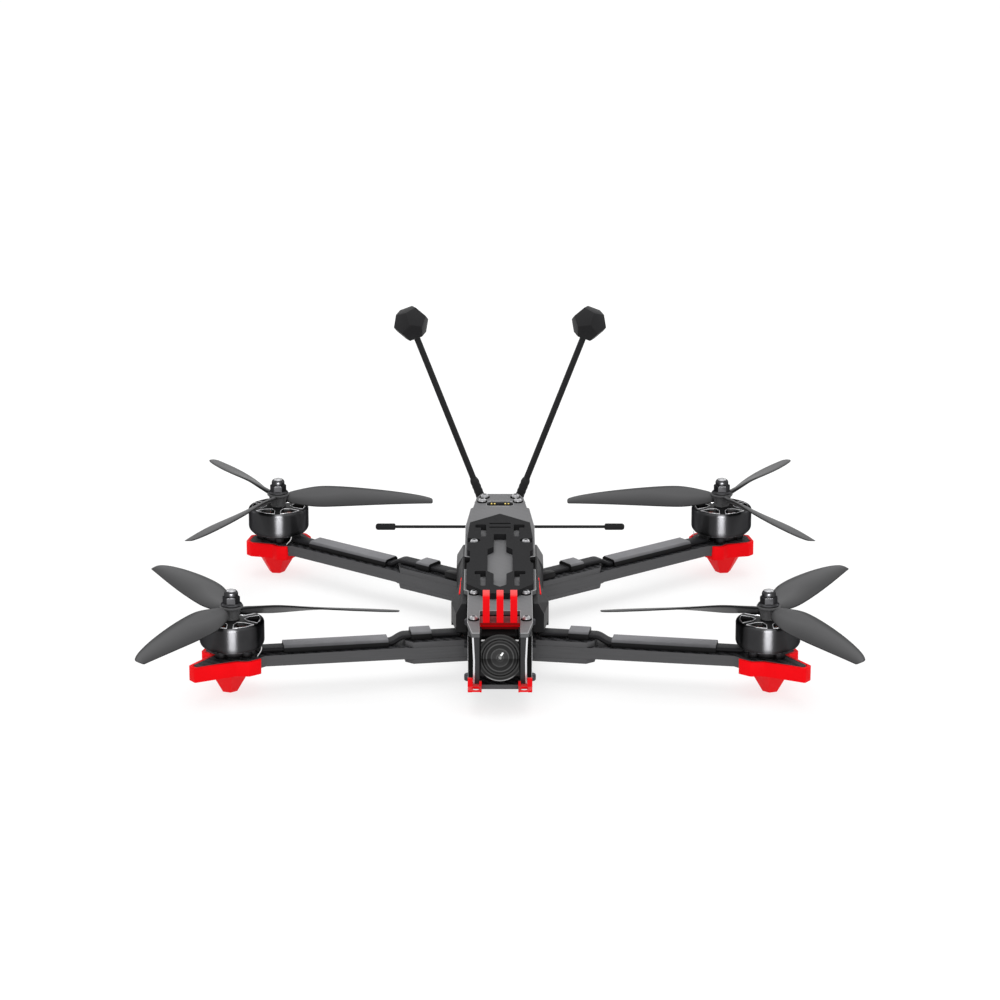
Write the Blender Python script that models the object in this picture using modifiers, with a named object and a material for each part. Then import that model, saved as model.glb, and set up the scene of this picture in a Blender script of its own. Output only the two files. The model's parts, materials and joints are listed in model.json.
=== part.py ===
"""Seven-inch long-range quadcopter with a carbon sandwich frame and a tilting flight camera.

Metres, +Z up. The nose points to -Y and +X is the right-hand side in the view from the nose.
The origin is on the ground, under the middle of the four motors.
"""
import math

import bmesh
import bpy
from mathutils import Matrix, Vector

# Clearances
SEAT_GAP = 0.0003
RUNNING_GAP = 0.0003
WELD = 0.000001

# Motor layout: each arm runs from its root on the centre line to its motor
PROP_RADIUS = 0.0889
PROP_TIP_GAP = 0.0190
FRONT_MOTOR_X = 0.1420
REAR_MOTOR_X = 0.1274
MOTOR_Y = PROP_RADIUS + PROP_TIP_GAP / 2
FRONT_ROOT_Y = -0.0752
REAR_ROOT_Y = 0.0017
FRONT_SWEEP = math.atan2(MOTOR_Y + FRONT_ROOT_Y, FRONT_MOTOR_X)
REAR_SWEEP = math.atan2(MOTOR_Y - REAR_ROOT_Y, REAR_MOTOR_X)

# Heights of the stack, from the ground up
FOOT_HEIGHT = 0.0126
GUARD_FLOOR = 0.0019
BOTTOM_PLATE_THICKNESS = 0.0025
ARM_THICKNESS = 0.0060
MIDDLE_PLATE_THICKNESS = 0.0030
STANDOFF_LENGTH = 0.0194
TOP_PLATE_THICKNESS = 0.0025
PAD_THICKNESS = 0.0032

ARM_BOTTOM = FOOT_HEIGHT + GUARD_FLOOR + SEAT_GAP
ARM_TOP = ARM_BOTTOM + ARM_THICKNESS
LOWER_DECK = ARM_BOTTOM - SEAT_GAP
MOTOR_SEAT = ARM_TOP + SEAT_GAP
BAY_FLOOR = MOTOR_SEAT + MIDDLE_PLATE_THICKNESS + SEAT_GAP
BAY_CEILING = BAY_FLOOR + STANDOFF_LENGTH
TOP_PLATE_BOTTOM = BAY_CEILING + SEAT_GAP
TOP_PLATE_TOP = TOP_PLATE_BOTTOM + TOP_PLATE_THICKNESS
PAD_BOTTOM = TOP_PLATE_TOP + SEAT_GAP

# Arms and the plate wings that clamp them
ARM_WIDTH = 0.0150
ROOT_WIDTH = 0.0170
ROOT_TAPER = 0.0020
FRONT_WING_X = 0.0512
REAR_WING_X = 0.0541
WING_CHAMFER = 0.0040
ARM_SPLIT = 0.0035
TIP_START = 0.0170
TIP_OUTLINE = ((0.0120, 0.0110), (0.0070, 0.0136), (0.0005, 0.0120), (-0.0209, 0.0184),
               (-0.0222, 0.0158), (-0.0086, 0.0008), (-0.0136, -0.0060), (-0.0095, -0.0145),
               (-0.0066, -0.0152), (0.0050, -0.0100), (0.0094, -0.0114), (0.0124, -0.0096))

# Motor guards
GUARD_WALL = 0.0018
GUARD_HEIGHT = 0.0080
FOOT_SOLE_RADIUS = 0.0044
FOOT_TOP_RADIUS = 0.0124
FOOT_SIDES = 6
FOOT_SHIFT = 0.0018

# Motors
SHAFT_RADIUS = 0.0025
BASE_RADIUS = 0.0095
BASE_THICKNESS = 0.0025
BOLT_CIRCLE_RADIUS = 0.0095
BOLT_COUNT = 4
BOSS_RADIUS = 0.0033
BOSS_HEIGHT = 0.0030
BEARING_WALL = 0.0022
BEARING_FLOOR = 0.0015
BEARING_PROUD = 0.0004
BEARING_RADIUS = SHAFT_RADIUS + RUNNING_GAP + BEARING_WALL
STATOR_LIFT = 0.0014
STATOR_HEIGHT = 0.0085
STATOR_TEETH = 12
STATOR_YOKE = 0.0033
STATOR_TOOTH_HALF_ANGLE = math.radians(12.2)
STATOR_NECK_HALF_ANGLE = math.radians(8.5)
STATOR_HEADROOM = 0.0042
AIR_GAP = 0.00105
BELL_RADIUS = 0.01725
BELL_WALL = 0.0021
BELL_LEAD_GAP = 0.0015
BELL_ROUND = 0.0020
BELL_CROWN = 0.0018
BELL_FOOT_STEP = 0.0007
BELL_FOOT_INSET = 0.0017
BELL_HUB_WALL = 0.0037
BELL_WINDOWS = 6
BELL_WINDOW_SHARE = 0.7
BELL_RIM = 0.0022

# Flat motor leads, their covers and their way into the body
LEAD_WIDTH = 0.0084
LEAD_THICKNESS = 0.0026
LEAD_BASE_GAP = 0.0015
LEAD_RISER = 0.0030
LEAD_JOIN = 0.0011
LEAD_RAMP = 0.0076
LEAD_END_X = 0.0220
COVER_START = 0.0270
COVER_END_GAP = 0.0014
COVER_WALL = 0.0012
COVER_BEVEL = 0.0014

# Propellers and nuts
PROP_PITCH = 0.1040
PITCH_ROOT_RADIUS = 0.0255
PROP_BLADES = 3
HUB_WALL = 0.0035
HUB_HEIGHT = 0.0074
BLADE_REST_ANGLE = math.radians(0.4)
# Blade stations as shares of the radius: distance from the axis, leading edge, trailing edge, thickness, lift
BLADE_SHARES = ((0.055, 0.042, -0.0405, 0.0382, 0.0135), (0.10, 0.058, -0.056, 0.0345, 0.0146),
                (0.18, 0.082, -0.077, 0.0285, 0.0157), (0.25, 0.092, -0.092, 0.0250, 0.0191),
                (0.32, 0.096, -0.101, 0.0225, 0.0225), (0.47, 0.098, -0.1085, 0.0191, 0.0225),
                (0.64, 0.087, -0.1045, 0.0157, 0.0191), (0.80, 0.066, -0.0922, 0.0135, 0.0135),
                (0.93, 0.036, -0.0776, 0.0112, 0.0067), (0.985, 0.0, -0.071, 0.0100, 0.0034),
                (1.00, -0.028, -0.0686, 0.0090, 0.0022))
# Blade section: share of the chord from the leading edge, share of the thickness from the blade axis
SECTION_SHARES = ((0, -0.3), (0.3, 0.5), (0.7, 0.35), (1, -0.3), (0.7, -0.5), (0.3, -0.5))
NUT_WALL = 0.0018
NUT_FLANGE_WIDTH = 0.0011
NUT_FLANGE_HEIGHT = 0.0014
NUT_FLANGE_RISE = 0.0004
NUT_HEX_HEIGHT = 0.0048
NUT_DOME_HEIGHT = 0.0022
NUT_DOME_SHY = 0.0007
NUT_DOME_WALL = 0.0006

# Plates: body outline
TOP_HALF_WIDTH = 0.0194
BODY_SHOULDER = 0.0036
BODY_HALF_WIDTH = TOP_HALF_WIDTH + BODY_SHOULDER
BOTTOM_NOSE_Y = -0.1300
BOTTOM_NOSE_HALF_WIDTH = 0.0170
BOTTOM_NOSE_CHAMFER = 0.0035
MIDDLE_NOSE_Y = -0.0995
MIDDLE_NOSE_HALF_WIDTH = 0.0190
PLATE_TAIL_Y = 0.0985
TAIL_TAPER_Y = 0.0480
TAIL_TAPER_LENGTH = 0.0300
TAIL_HALF_WIDTH = 0.0135
STACK_Y = -0.0280
STACK_PITCH = 0.0305
STACK_HOLE_RADIUS = 0.0016

# Top plate
TOP_NOSE_Y = -0.1397
PRONG_INNER_X = 0.0106
PRONG_OUTER_X = 0.0172
PRONG_TIP_X = 0.0146
PRONG_TAPER_Y = -0.1220
PRONG_ROOT_Y = -0.1040
PRONG_SHOULDER_Y = -0.0720
TOP_TAIL_Y = 0.1003
TOP_TAIL_HALF_WIDTH = 0.0136
TOP_TAIL_CORNER_Y = 0.0925
TOP_TAIL_EDGE_HALF_WIDTH = 0.0110
TOP_TAIL_STEP = 0.0013
TOP_TAIL_STEP_Y = 0.0730
TOP_TAIL_STEP_HALF_WIDTH = 0.0167
TOP_TAPER_Y = 0.0400
STRAP_NOTCH_DEPTH = 0.0030
STRAP_NOTCH_X = TOP_HALF_WIDTH - STRAP_NOTCH_DEPTH
STRAP_NOTCH_FRONT_Y = -0.0358
STRAP_NOTCH_REAR_Y = -0.0131
TAIL_WINDOW_HALF_WIDTH = 0.0076
TAIL_WINDOW_FRONT_Y = 0.0766
TAIL_WINDOW_REAR_Y = 0.0864
TAIL_WINDOW_CHAMFER = 0.0022

# Battery pad
PAD_SIDE_INSET = 0.0013
PAD_HALF_WIDTH = TOP_HALF_WIDTH - PAD_SIDE_INSET
PAD_REAR_Y = 0.0520
PAD_REAR_SHOULDER_Y = 0.0360
PAD_REAR_TAPER = 0.0013
PAD_REAR_HALF_WIDTH = PAD_HALF_WIDTH - PAD_REAR_TAPER
PAD_FRONT_Y = -0.0860
PAD_FRONT_SHOULDER_Y = -0.0700
PAD_FRONT_HALF_WIDTH = 0.0060
PAD_SCREW_X = 0.0143
PAD_SCREW_Y = 0.0040
PAD_SCREW_NOTCH = 0.0036
PAD_WINDOW_NARROW = 0.00345
PAD_WINDOW_WIDE = 0.00685
PAD_WINDOW_FRONT_Y = -0.0718
PAD_WINDOW_POINT = 0.0036
PAD_WINDOW_REAR_Y = 0.0150
PAD_WINDOW_WIDE_FRONT_Y = -0.0492
PAD_WINDOW_WIDE_REAR_Y = -0.0118
PAD_WINDOW_SLOPE = 0.0045
PAD_HOOK_RIB = 0.00085
PAD_HOOK_SLOT = 0.0029
PAD_HOOK_TOE = 0.0031
PAD_HOOK_TOE_LENGTH = 0.0055
PAD_REAR_HOOK_Y = (0.0108, 0.0322)
PAD_FRONT_HOOK_Y = (-0.0735, -0.0490)
GRIP_SLOT_RIB = 0.0017
GRIP_SLOT_LENGTH = 0.0022
GRIP_SLOT_Y = (0.0262, 0.0330)

# Standoffs
STANDOFF_RADIUS = 0.0026
FRONT_STANDOFF_X = 0.0138
FRONT_STANDOFF_Y = -0.0770

# Flight camera and its cage
CAMERA_WIDTH = 0.0206
CAMERA_PIVOT_Y = -0.1239
CAMERA_PIVOT_LIFT = 0.0132
CAMERA_TILT = math.radians(17.5)
CAMERA_RADIUS = 0.0095
CAMERA_DEPTH = 0.0075
BEZEL_PROUD = 0.0019
BEZEL_DEPTH = 0.0036
LENS_RADIUS = 0.0092
LENS_SEAT_DEPTH = 0.0046
LENS_LIP = 0.0008
LENS_DOME = 0.0018
LENS_GLASS_RADIUS = 0.0056
LENS_RING_WIDTH = 0.0007
TRUNNION_RADIUS = 0.0020
TRUNNION_LENGTH = 0.0042
CAGE_CLEARANCE = 0.0004
CAGE_EDGE = 0.0026
CAGE_CHAMFER = 0.0035
CAGE_NOSE_INSET = 0.0004
CAGE_KNEE_DROP = 0.0128
CAGE_TOE_INSET = 0.0004
CAGE_REAR_INSET = 0.0006
CAGE_REAR_LEAN = 0.0040

# Action-camera mount
MOUNT_FRONT_Y = -0.1280
MOUNT_LIFT = 0.0013
MOUNT_BASE_HEIGHT = 0.0027
MOUNT_LUG_OVERLAP = 0.0030
MOUNT_LUG_GAP = 0.0100
MOUNT_LUG_DROP = 0.0004
FINGER_THICKNESS = 0.0036
FINGER_PITCH = 0.0072
FINGER_DEPTH = 0.0105
FINGER_HEIGHT = 0.0155
FINGER_ROUND = 0.0032
FINGER_HOLE_RADIUS = 0.0026

# Front bumpers
BUMPER_INNER_X = 0.0096
BUMPER_OUTER_X = 0.0169
BUMPER_LENGTH = 0.0078
BUMPER_HEIGHT = 0.0037
BUMPER_SLOPE = 0.0008
BUMPER_TAB = 0.0008
BUMPER_HEEL = 0.0014
BUMPER_LIP_LENGTH = 0.0090
BUMPER_LIP_THICKNESS = 0.0009
BUMPER_CHAMFER = 0.0012
BUMPER_FIN_WIDTH = 0.0026
BUMPER_FIN_LENGTH = 0.0030
BUMPER_FIN_HEIGHT = 0.0043
BUMPER_STEP_WIDTH = 0.0013
BUMPER_STEP_HEIGHT = 0.0020
LANYARD_HOLE_RADIUS = 0.0018
LANYARD_HOLE_SETBACK = 0.0027

# Side covers, whose lengths run from where the motor leads enter
SIDE_COVER_FRONT_LAP = 0.0044
SIDE_COVER_FLARE_LENGTH = 0.0132
SIDE_COVER_WAIST_START = 0.0372
SIDE_COVER_REAR_LAP = 0.0043
SIDE_COVER_BLOCK_REAR = 0.0158
SIDE_COVER_BLOCK_FRONT = 0.0248
SIDE_COVER_WAIST_END = 0.0278
SIDE_COVER_WAIST_INSET = 0.0003
SIDE_COVER_FRONT_STEP = 0.0008
SIDE_COVER_BLOCK_STEP = 0.0012
SIDE_COVER_FLARE = 0.0035
SIDE_COVER_SHOULDER_INSET = 0.0023
SIDE_COVER_WAIST_X = BODY_HALF_WIDTH - SIDE_COVER_WAIST_INSET
SIDE_COVER_FRONT_X = SIDE_COVER_WAIST_X + SIDE_COVER_FRONT_STEP
SIDE_COVER_BLOCK_X = SIDE_COVER_WAIST_X + SIDE_COVER_BLOCK_STEP
SIDE_COVER_OUTER_X = SIDE_COVER_WAIST_X + SIDE_COVER_FLARE
SIDE_COVER_SHOULDER_X = SIDE_COVER_WAIST_X - SIDE_COVER_SHOULDER_INSET
SIDE_COVER_POST_GAP = 0.0007
SIDE_COVER_SHOULDER_DROP = 0.0060
SIDE_COVER_WALL = 0.0016
SIDE_COVER_LEAD_ROOM = 0.0006

# Tail: antenna mount, masts and receiver antenna
TAIL_BLOCK_GAP = 0.0021
TAIL_BLOCK_SHY = 0.0020
TAIL_BLOCK_HALF_WIDTH = 0.0125
MAST_PLATE_GAP = 0.0007
MAST_FOOT_X = 0.0112
MAST_FOOT_RADIUS = 0.0026
MAST_RADIUS = 0.0018
MAST_FOOT_LENGTH = 0.0210
MAST_LENGTH = 0.1172
MAST_LEAN = math.radians(20.9)
SOCKET_WALL = 0.0018
SOCKET_LENGTH = 0.0100
SOCKET_TOP_GAP = 0.0002
CAP_INRADIUS = 0.0083
CAP_SOCKET_DEPTH = 0.0050
RECEIVER_ANTENNA_INSET = 0.0040
RECEIVER_ANTENNA_RISE = 0.0048
RECEIVER_WIRE_RADIUS = 0.0007
RECEIVER_HALF_SPAN = 0.0715
RECEIVER_END_RADIUS = 0.0019
RECEIVER_END_LENGTH = 0.0114

# Electronics in the body
BOARD_THICKNESS = 0.0016
BOARD_CORNER = 0.0030
ESC_SIDE_GAP = 0.0021
ESC_LENGTH = 0.0420
ESC_RISE = 0.0032
ESC_BLOCK_HEIGHT = 0.0028
FC_INSET = 0.0010
FC_RISE = 0.0042
FC_BLOCK_HEIGHT = 0.0018
BLOCK_INSET = 0.0065
BLOCK_GROMMET_GAP = 0.0016
GROMMET_RADIUS = 0.0022
VTX_WIDTH = 0.0280
VTX_LENGTH = 0.0325
VTX_WINDOW_GAP = 0.0021
VTX_HEIGHT = 0.0100
CONTACT_HEAD_INSET = 0.0006
CONTACT_HEAD_DROP = 0.0012
CAPACITOR_RADIUS = 0.0048
CAPACITOR_END_GAP = 0.0007
CAPACITOR_NOSE_GAP = 0.0012
RECEIVER_WIDTH = 0.0120
RECEIVER_LENGTH = 0.0180
RECEIVER_HEIGHT = 0.0042
RECEIVER_GAP = 0.0040

# Number of flats on round faces
SMALL_SIDES = 12
BORE_SIDES = 16
HUB_SIDES = 18
BELL_SIDES = 24

PARTS = bpy.data.collections.new("long_range_quadcopter")
TOOLS = bpy.data.collections.new("tools")


# Mesh helpers. Each returns a mesh in the frame of the piece that it makes.

def bake(obj):
    """Turn an object with its modifiers and its place into a welded mesh, and remove the object."""
    bpy.context.view_layer.update()
    evaluated = obj.evaluated_get(bpy.context.evaluated_depsgraph_get())
    mesh = bpy.data.meshes.new_from_object(evaluated)
    mesh.transform(obj.matrix_world)
    bm = bmesh.new()
    bm.from_mesh(mesh)
    bmesh.ops.remove_doubles(bm, verts=bm.verts, dist=WELD)
    bmesh.ops.recalc_face_normals(bm, faces=bm.faces)
    bm.to_mesh(mesh)
    bm.free()
    bpy.data.objects.remove(obj, do_unlink=True)
    return mesh


def tool(data):
    """A working object that takes part in a Boolean or a modifier and is not a piece itself."""
    obj = bpy.data.objects.new("tool", data)
    obj.hide_render = True
    obj.display_type = "WIRE"
    TOOLS.objects.link(obj)
    return obj


def mesh_of(build):
    """A mesh filled by a function that works on an empty bmesh."""
    bm = bmesh.new()
    build(bm)
    bmesh.ops.recalc_face_normals(bm, faces=bm.faces)
    mesh = bpy.data.meshes.new("mesh")
    bm.to_mesh(mesh)
    bm.free()
    return mesh


def combine(base, other, operation):
    """Boolean of two closed meshes."""
    body, second = tool(base), tool(other)
    modifier = body.modifiers.new("combine", "BOOLEAN")
    modifier.operation = operation
    modifier.object = second
    mesh = bake(body)
    bpy.data.objects.remove(second, do_unlink=True)
    return mesh


def join(base, *others):
    for other in others:
        base = combine(base, other, "UNION")
    return base


def cut(base, *others):
    for other in others:
        base = combine(base, other, "DIFFERENCE")
    return base


def extruded(loops, low, high, turn):
    """Outline with holes, filled and extruded from low to high along the outline's normal."""
    curve = bpy.data.curves.new("outline", "CURVE")
    curve.dimensions = "2D"
    curve.fill_mode = "BOTH"
    curve.extrude = (high - low) / 2
    for loop in loops:
        spline = curve.splines.new("POLY")
        spline.points.add(len(loop) - 1)
        for point, (a, b) in zip(spline.points, loop):
            point.co = (a, b, 0, 1)
        spline.use_cyclic_u = True
    obj = tool(curve)
    obj.matrix_world = turn @ Matrix.Translation((0, 0, (high + low) / 2))
    return bake(obj)


def prism(loops, low, high):
    """(x, y) outline extruded along Z."""
    return extruded(loops, low, high, Matrix.Identity(4))


def side_prism(loops, low, high):
    """(y, z) outline extruded along X."""
    return extruded(loops, low, high, Matrix(((0, 0, 1, 0), (1, 0, 0, 0), (0, 1, 0, 0), (0, 0, 0, 1))))


def face_prism(loops, low, high):
    """(x, z) outline extruded along Y."""
    return extruded(loops, -high, -low, Matrix(((1, 0, 0, 0), (0, 0, -1, 0), (0, 1, 0, 0), (0, 0, 0, 1))))


def box(x_range, y_range, z_range):
    spans = (x_range, y_range, z_range)
    size = Matrix.Diagonal([high - low for low, high in spans] + [1])
    centre = Matrix.Translation([(low + high) / 2 for low, high in spans])
    return mesh_of(lambda bm: bmesh.ops.create_cube(bm, size=1, matrix=centre @ size))


def rod(start, end, radius, sides, end_radius=None):
    """Cylinder or cone between two points."""
    start, end = Vector(start), Vector(end)
    turn = (end - start).to_track_quat("Z", "Y").to_matrix().to_4x4()
    place = Matrix.Translation((start + end) / 2) @ turn
    return mesh_of(lambda bm: bmesh.ops.create_cone(
        bm, cap_ends=True, segments=sides, radius1=radius,
        radius2=radius if end_radius is None else end_radius, depth=(end - start).length, matrix=place))


def turned(profile, steps, closed=False):
    """(radius, z) profile, top to bottom on its outer side, turned about Z."""
    def trace(bm):
        points = [bm.verts.new((radius, 0, z)) for radius, z in profile]
        for first, second in zip(points, points[1:] + points[:1] if closed else points[1:]):
            bm.edges.new((first, second))
    obj = tool(mesh_of(trace))
    screw = obj.modifiers.new("turn", "SCREW")
    screw.steps = screw.render_steps = steps
    screw.use_merge_vertices = True
    screw.merge_threshold = WELD
    return bake(obj)


def loft(sections):
    """Closed skin through sections of equal point count, with flat ends."""
    def skin(bm):
        rings = [[bm.verts.new(point) for point in section] for section in sections]
        for ring, following in zip(rings, rings[1:]):
            for i in range(len(ring)):
                j = (i + 1) % len(ring)
                bm.faces.new((ring[i], ring[j], following[j], following[i]))
        bm.faces.new(rings[0])
        bm.faces.new(rings[-1])
    return mesh_of(skin)


def spread(mesh, count, start=0.0):
    """Copies of a mesh turned evenly about Z, in one mesh."""
    def fill(bm):
        for i in range(count):
            first = len(bm.verts)
            bm.from_mesh(mesh)
            bm.verts.ensure_lookup_table()
            bmesh.ops.rotate(bm, verts=bm.verts[first:], cent=(0, 0, 0),
                             matrix=Matrix.Rotation(start + i * math.tau / count, 3, "Z"))
    return mesh_of(fill)


def moved(mesh, matrix):
    """Copy of a mesh in another place."""
    copy = mesh.copy()
    copy.transform(matrix)
    if matrix.determinant() < 0:
        copy.flip_normals()
    return copy


def mirrored(mesh):
    return moved(mesh, Matrix.Diagonal((-1, 1, 1, 1)))


# Outline helpers

def circle(centre_x, centre_y, radius, sides=8):
    return arc((centre_x, centre_y), radius, 0, 360, sides)[:-1]


def arc(centre, radius, first, last, steps):
    """Points on an arc, angles in degrees."""
    angles = [math.radians(first + (last - first) * i / steps) for i in range(steps + 1)]
    return [(centre[0] + radius * math.cos(a), centre[1] + radius * math.sin(a)) for a in angles]


def symmetric(right):
    """Outline closed by the mirror image of its right half, given from one end to the other."""
    return list(right) + [(-x, y) for x, y in reversed(right)]


def offset(points, distance):
    """Counter-clockwise outline moved outwards by a distance, with mitred corners."""
    result = []
    for i, corner in enumerate(points):
        before, here, after = Vector(points[i - 1]), Vector(corner), Vector(points[(i + 1) % len(points)])
        first, second = (here - before).normalized(), (after - here).normalized()
        normal_1, normal_2 = Vector((first.y, -first.x)), Vector((second.y, -second.x))
        mitre = normal_1 + normal_2
        result.append(tuple(here + mitre * (distance / (1 + normal_1.dot(normal_2)))))
    return result


# Scene helpers

def material(name, colour, roughness, metallic=0.0):
    made = bpy.data.materials.new(name)
    made.use_nodes = True
    shader = made.node_tree.nodes["Principled BSDF"]
    shader.inputs["Base Color"].default_value = (*colour, 1)
    shader.inputs["Roughness"].default_value = roughness
    shader.inputs["Metallic"].default_value = metallic
    return made


def empty(name, location, rotation=(0, 0, 0)):
    """Frame that pieces are parented to."""
    obj = bpy.data.objects.new(name, None)
    obj.location = location
    obj.rotation_euler = rotation
    PARTS.objects.link(obj)
    return obj


def piece(name, mesh, look, parent=None):
    """One named sub-part."""
    obj = bpy.data.objects.new(name, mesh)
    mesh.name = name
    mesh.materials.clear()
    mesh.materials.append(look)
    mesh.shade_smooth()
    mesh.set_sharp_from_angle(angle=math.radians(32))
    obj.parent = parent
    PARTS.objects.link(obj)
    return obj


# Arms

def tip_outline(side):
    """Forked arm tip in the arm's frame, from one edge of the bar round to the other."""
    half = ARM_WIDTH / 2
    return [(u, v * side) for u, v in ((TIP_START, half), *TIP_OUTLINE, (TIP_START, -half))][::side]


def arm_length(motor_x, sweep):
    """From the motor axis to the arm's inner end, which clears the opposite arm."""
    return (motor_x - ARM_SPLIT - ROOT_WIDTH / 2 * math.sin(sweep)) / math.cos(sweep)


def wing_reach(motor_x, wing_x, sweep):
    """From the motor axis to the wings' ends, along the arm."""
    return (motor_x - wing_x) / math.cos(sweep)


def arm_outline(length, reach, side):
    bar, root = ARM_WIDTH / 2, ROOT_WIDTH / 2
    inner = [(length, root), (reach + ROOT_TAPER, root), (reach, bar)]
    return inner + tip_outline(side) + [(u, -v) for u, v in reversed(inner)]


def guard_mesh(side):
    """Red guard round the fork, with its floor under the arm and the landing foot."""
    half, out = ARM_WIDTH / 2, 2 * TIP_START
    shell = offset(tip_outline(side)[1:-1], GUARD_WALL + SEAT_GAP)
    room = offset([(out, half), *tip_outline(side), (out, -half)], SEAT_GAP)
    body = prism([shell], FOOT_HEIGHT, FOOT_HEIGHT + GUARD_HEIGHT)
    body = cut(body, prism([room], FOOT_HEIGHT + GUARD_FLOOR, FOOT_HEIGHT + 2 * GUARD_HEIGHT))
    foot = rod((-FOOT_SHIFT, 0, 0), (-FOOT_SHIFT, 0, FOOT_HEIGHT + GUARD_FLOOR / 2),
               FOOT_SOLE_RADIUS, FOOT_SIDES, FOOT_TOP_RADIUS)
    foot = combine(foot, prism([shell], -FOOT_HEIGHT, FOOT_HEIGHT + GUARD_HEIGHT), "INTERSECT")
    return join(body, foot)


def cover_mesh(reach):
    """Black channel over the lead on the arm."""
    half = LEAD_WIDTH / 2 + SEAT_GAP
    outer = half + COVER_WALL
    room = MOTOR_SEAT + LEAD_THICKNESS + SEAT_GAP
    top = room + COVER_WALL
    right = [(half, room), (half, MOTOR_SEAT), (outer, MOTOR_SEAT), (outer, top - COVER_BEVEL),
             (outer - COVER_BEVEL, top)]
    return side_prism([symmetric(right)], COVER_START, reach - LEAD_RAMP - COVER_END_GAP)


# Motors

STATOR_BOTTOM = MOTOR_SEAT + BOSS_HEIGHT + STATOR_LIFT
STATOR_TOP = STATOR_BOTTOM + STATOR_HEIGHT
BEARING_TOP = STATOR_TOP + BEARING_PROUD
SHAFT_BOTTOM = MOTOR_SEAT + BEARING_FLOOR + RUNNING_GAP
BELL_BOTTOM = MOTOR_SEAT + LEAD_THICKNESS + BELL_LEAD_GAP
BELL_CEILING = STATOR_TOP + STATOR_HEADROOM
BELL_TOP = BELL_CEILING + BELL_CROWN
HUB_SEAT = BELL_TOP + SEAT_GAP
NUT_SEAT = HUB_SEAT + HUB_HEIGHT + SEAT_GAP
NUT_TOP = NUT_SEAT + NUT_FLANGE_HEIGHT + NUT_HEX_HEIGHT + NUT_DOME_HEIGHT
PROP_BORE = SHAFT_RADIUS + SEAT_GAP


def base_mesh():
    """Motor base with its bolt feet and the bearing tube."""
    bore, floor, deck = SHAFT_RADIUS + RUNNING_GAP, MOTOR_SEAT + BEARING_FLOOR, MOTOR_SEAT + BASE_THICKNESS
    body = turned([(bore, BEARING_TOP), (BEARING_RADIUS, BEARING_TOP), (BEARING_RADIUS, deck),
                   (BASE_RADIUS, deck), (BASE_RADIUS, MOTOR_SEAT), (0, MOTOR_SEAT),
                   (0, floor), (bore, floor)], BORE_SIDES, closed=True)
    boss = rod((BOLT_CIRCLE_RADIUS, 0, MOTOR_SEAT), (BOLT_CIRCLE_RADIUS, 0, MOTOR_SEAT + BOSS_HEIGHT),
               BOSS_RADIUS, SMALL_SIDES)
    return join(body, spread(boss, BOLT_COUNT, math.pi / BOLT_COUNT))


def stator_mesh(reach, lead_end):
    """Toothed stator with its flat lead, which runs along the arm and climbs on the plate's wing."""
    outer = BELL_RADIUS - BELL_WALL - AIR_GAP
    slot = BEARING_RADIUS + SEAT_GAP + STATOR_YOKE
    tooth, neck = STATOR_TOOTH_HALF_ANGLE, STATOR_NECK_HALF_ANGLE
    star = []
    for i in range(STATOR_TEETH):
        middle = i * math.tau / STATOR_TEETH
        for radius, angle in ((slot, -neck), (outer, -tooth), (outer, tooth), (slot, neck)):
            star.append((radius * math.cos(middle + angle), radius * math.sin(middle + angle)))
    bore = circle(0, 0, BEARING_RADIUS + SEAT_GAP, BORE_SIDES)
    core = prism([star, bore], STATOR_BOTTOM, STATOR_TOP)
    start, foot, thick = BASE_RADIUS + LEAD_BASE_GAP, reach - LEAD_RAMP, LEAD_THICKNESS
    riser, joint = start + LEAD_RISER, STATOR_BOTTOM + LEAD_JOIN
    bend = thick * math.tan(math.atan2(BAY_FLOOR - MOTOR_SEAT, LEAD_RAMP) / 2)
    path = [(start, MOTOR_SEAT), (foot, MOTOR_SEAT), (reach, BAY_FLOOR), (lead_end, BAY_FLOOR),
            (lead_end, BAY_FLOOR + thick), (reach - bend, BAY_FLOOR + thick),
            (foot - bend, MOTOR_SEAT + thick), (riser, MOTOR_SEAT + thick), (riser, joint), (start, joint)]
    return join(core, face_prism([path], -LEAD_WIDTH / 2, LEAD_WIDTH / 2))


def bell_mesh():
    """Rotor bell with its shaft and the windows in its top."""
    inner, hub = BELL_RADIUS - BELL_WALL, SHAFT_RADIUS + BELL_HUB_WALL
    profile = [(0, NUT_TOP), (SHAFT_RADIUS, NUT_TOP), (SHAFT_RADIUS, BELL_TOP), (hub, BELL_TOP),
               (BELL_RADIUS - BELL_ROUND, BELL_TOP - BELL_CROWN / 3), (BELL_RADIUS, BELL_TOP - BELL_ROUND),
               (BELL_RADIUS, BELL_BOTTOM + 2 * BELL_ROUND),
               (BELL_RADIUS - BELL_FOOT_STEP, BELL_BOTTOM + BELL_ROUND / 2),
               (BELL_RADIUS - BELL_FOOT_INSET, BELL_BOTTOM), (inner, BELL_BOTTOM), (inner, BELL_CEILING),
               (SHAFT_RADIUS, BELL_CEILING), (SHAFT_RADIUS, SHAFT_BOTTOM), (0, SHAFT_BOTTOM)]
    near, far = hub + BELL_RIM / 2, inner - BELL_RIM / 2
    swing = BELL_WINDOW_SHARE * math.pi / BELL_WINDOWS
    side = (far * math.cos(swing), far * math.sin(swing))
    root = (near + BELL_RIM, near * math.sin(swing))
    window = [(near, 0), (root[0], -root[1]), (side[0], -side[1]), (far, 0), side, root]
    opening = prism([window], BELL_CEILING - BELL_CROWN / 4, BELL_TOP + BELL_CROWN)
    return cut(turned(profile, BELL_SIDES), spread(opening, BELL_WINDOWS))


# Propellers

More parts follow.
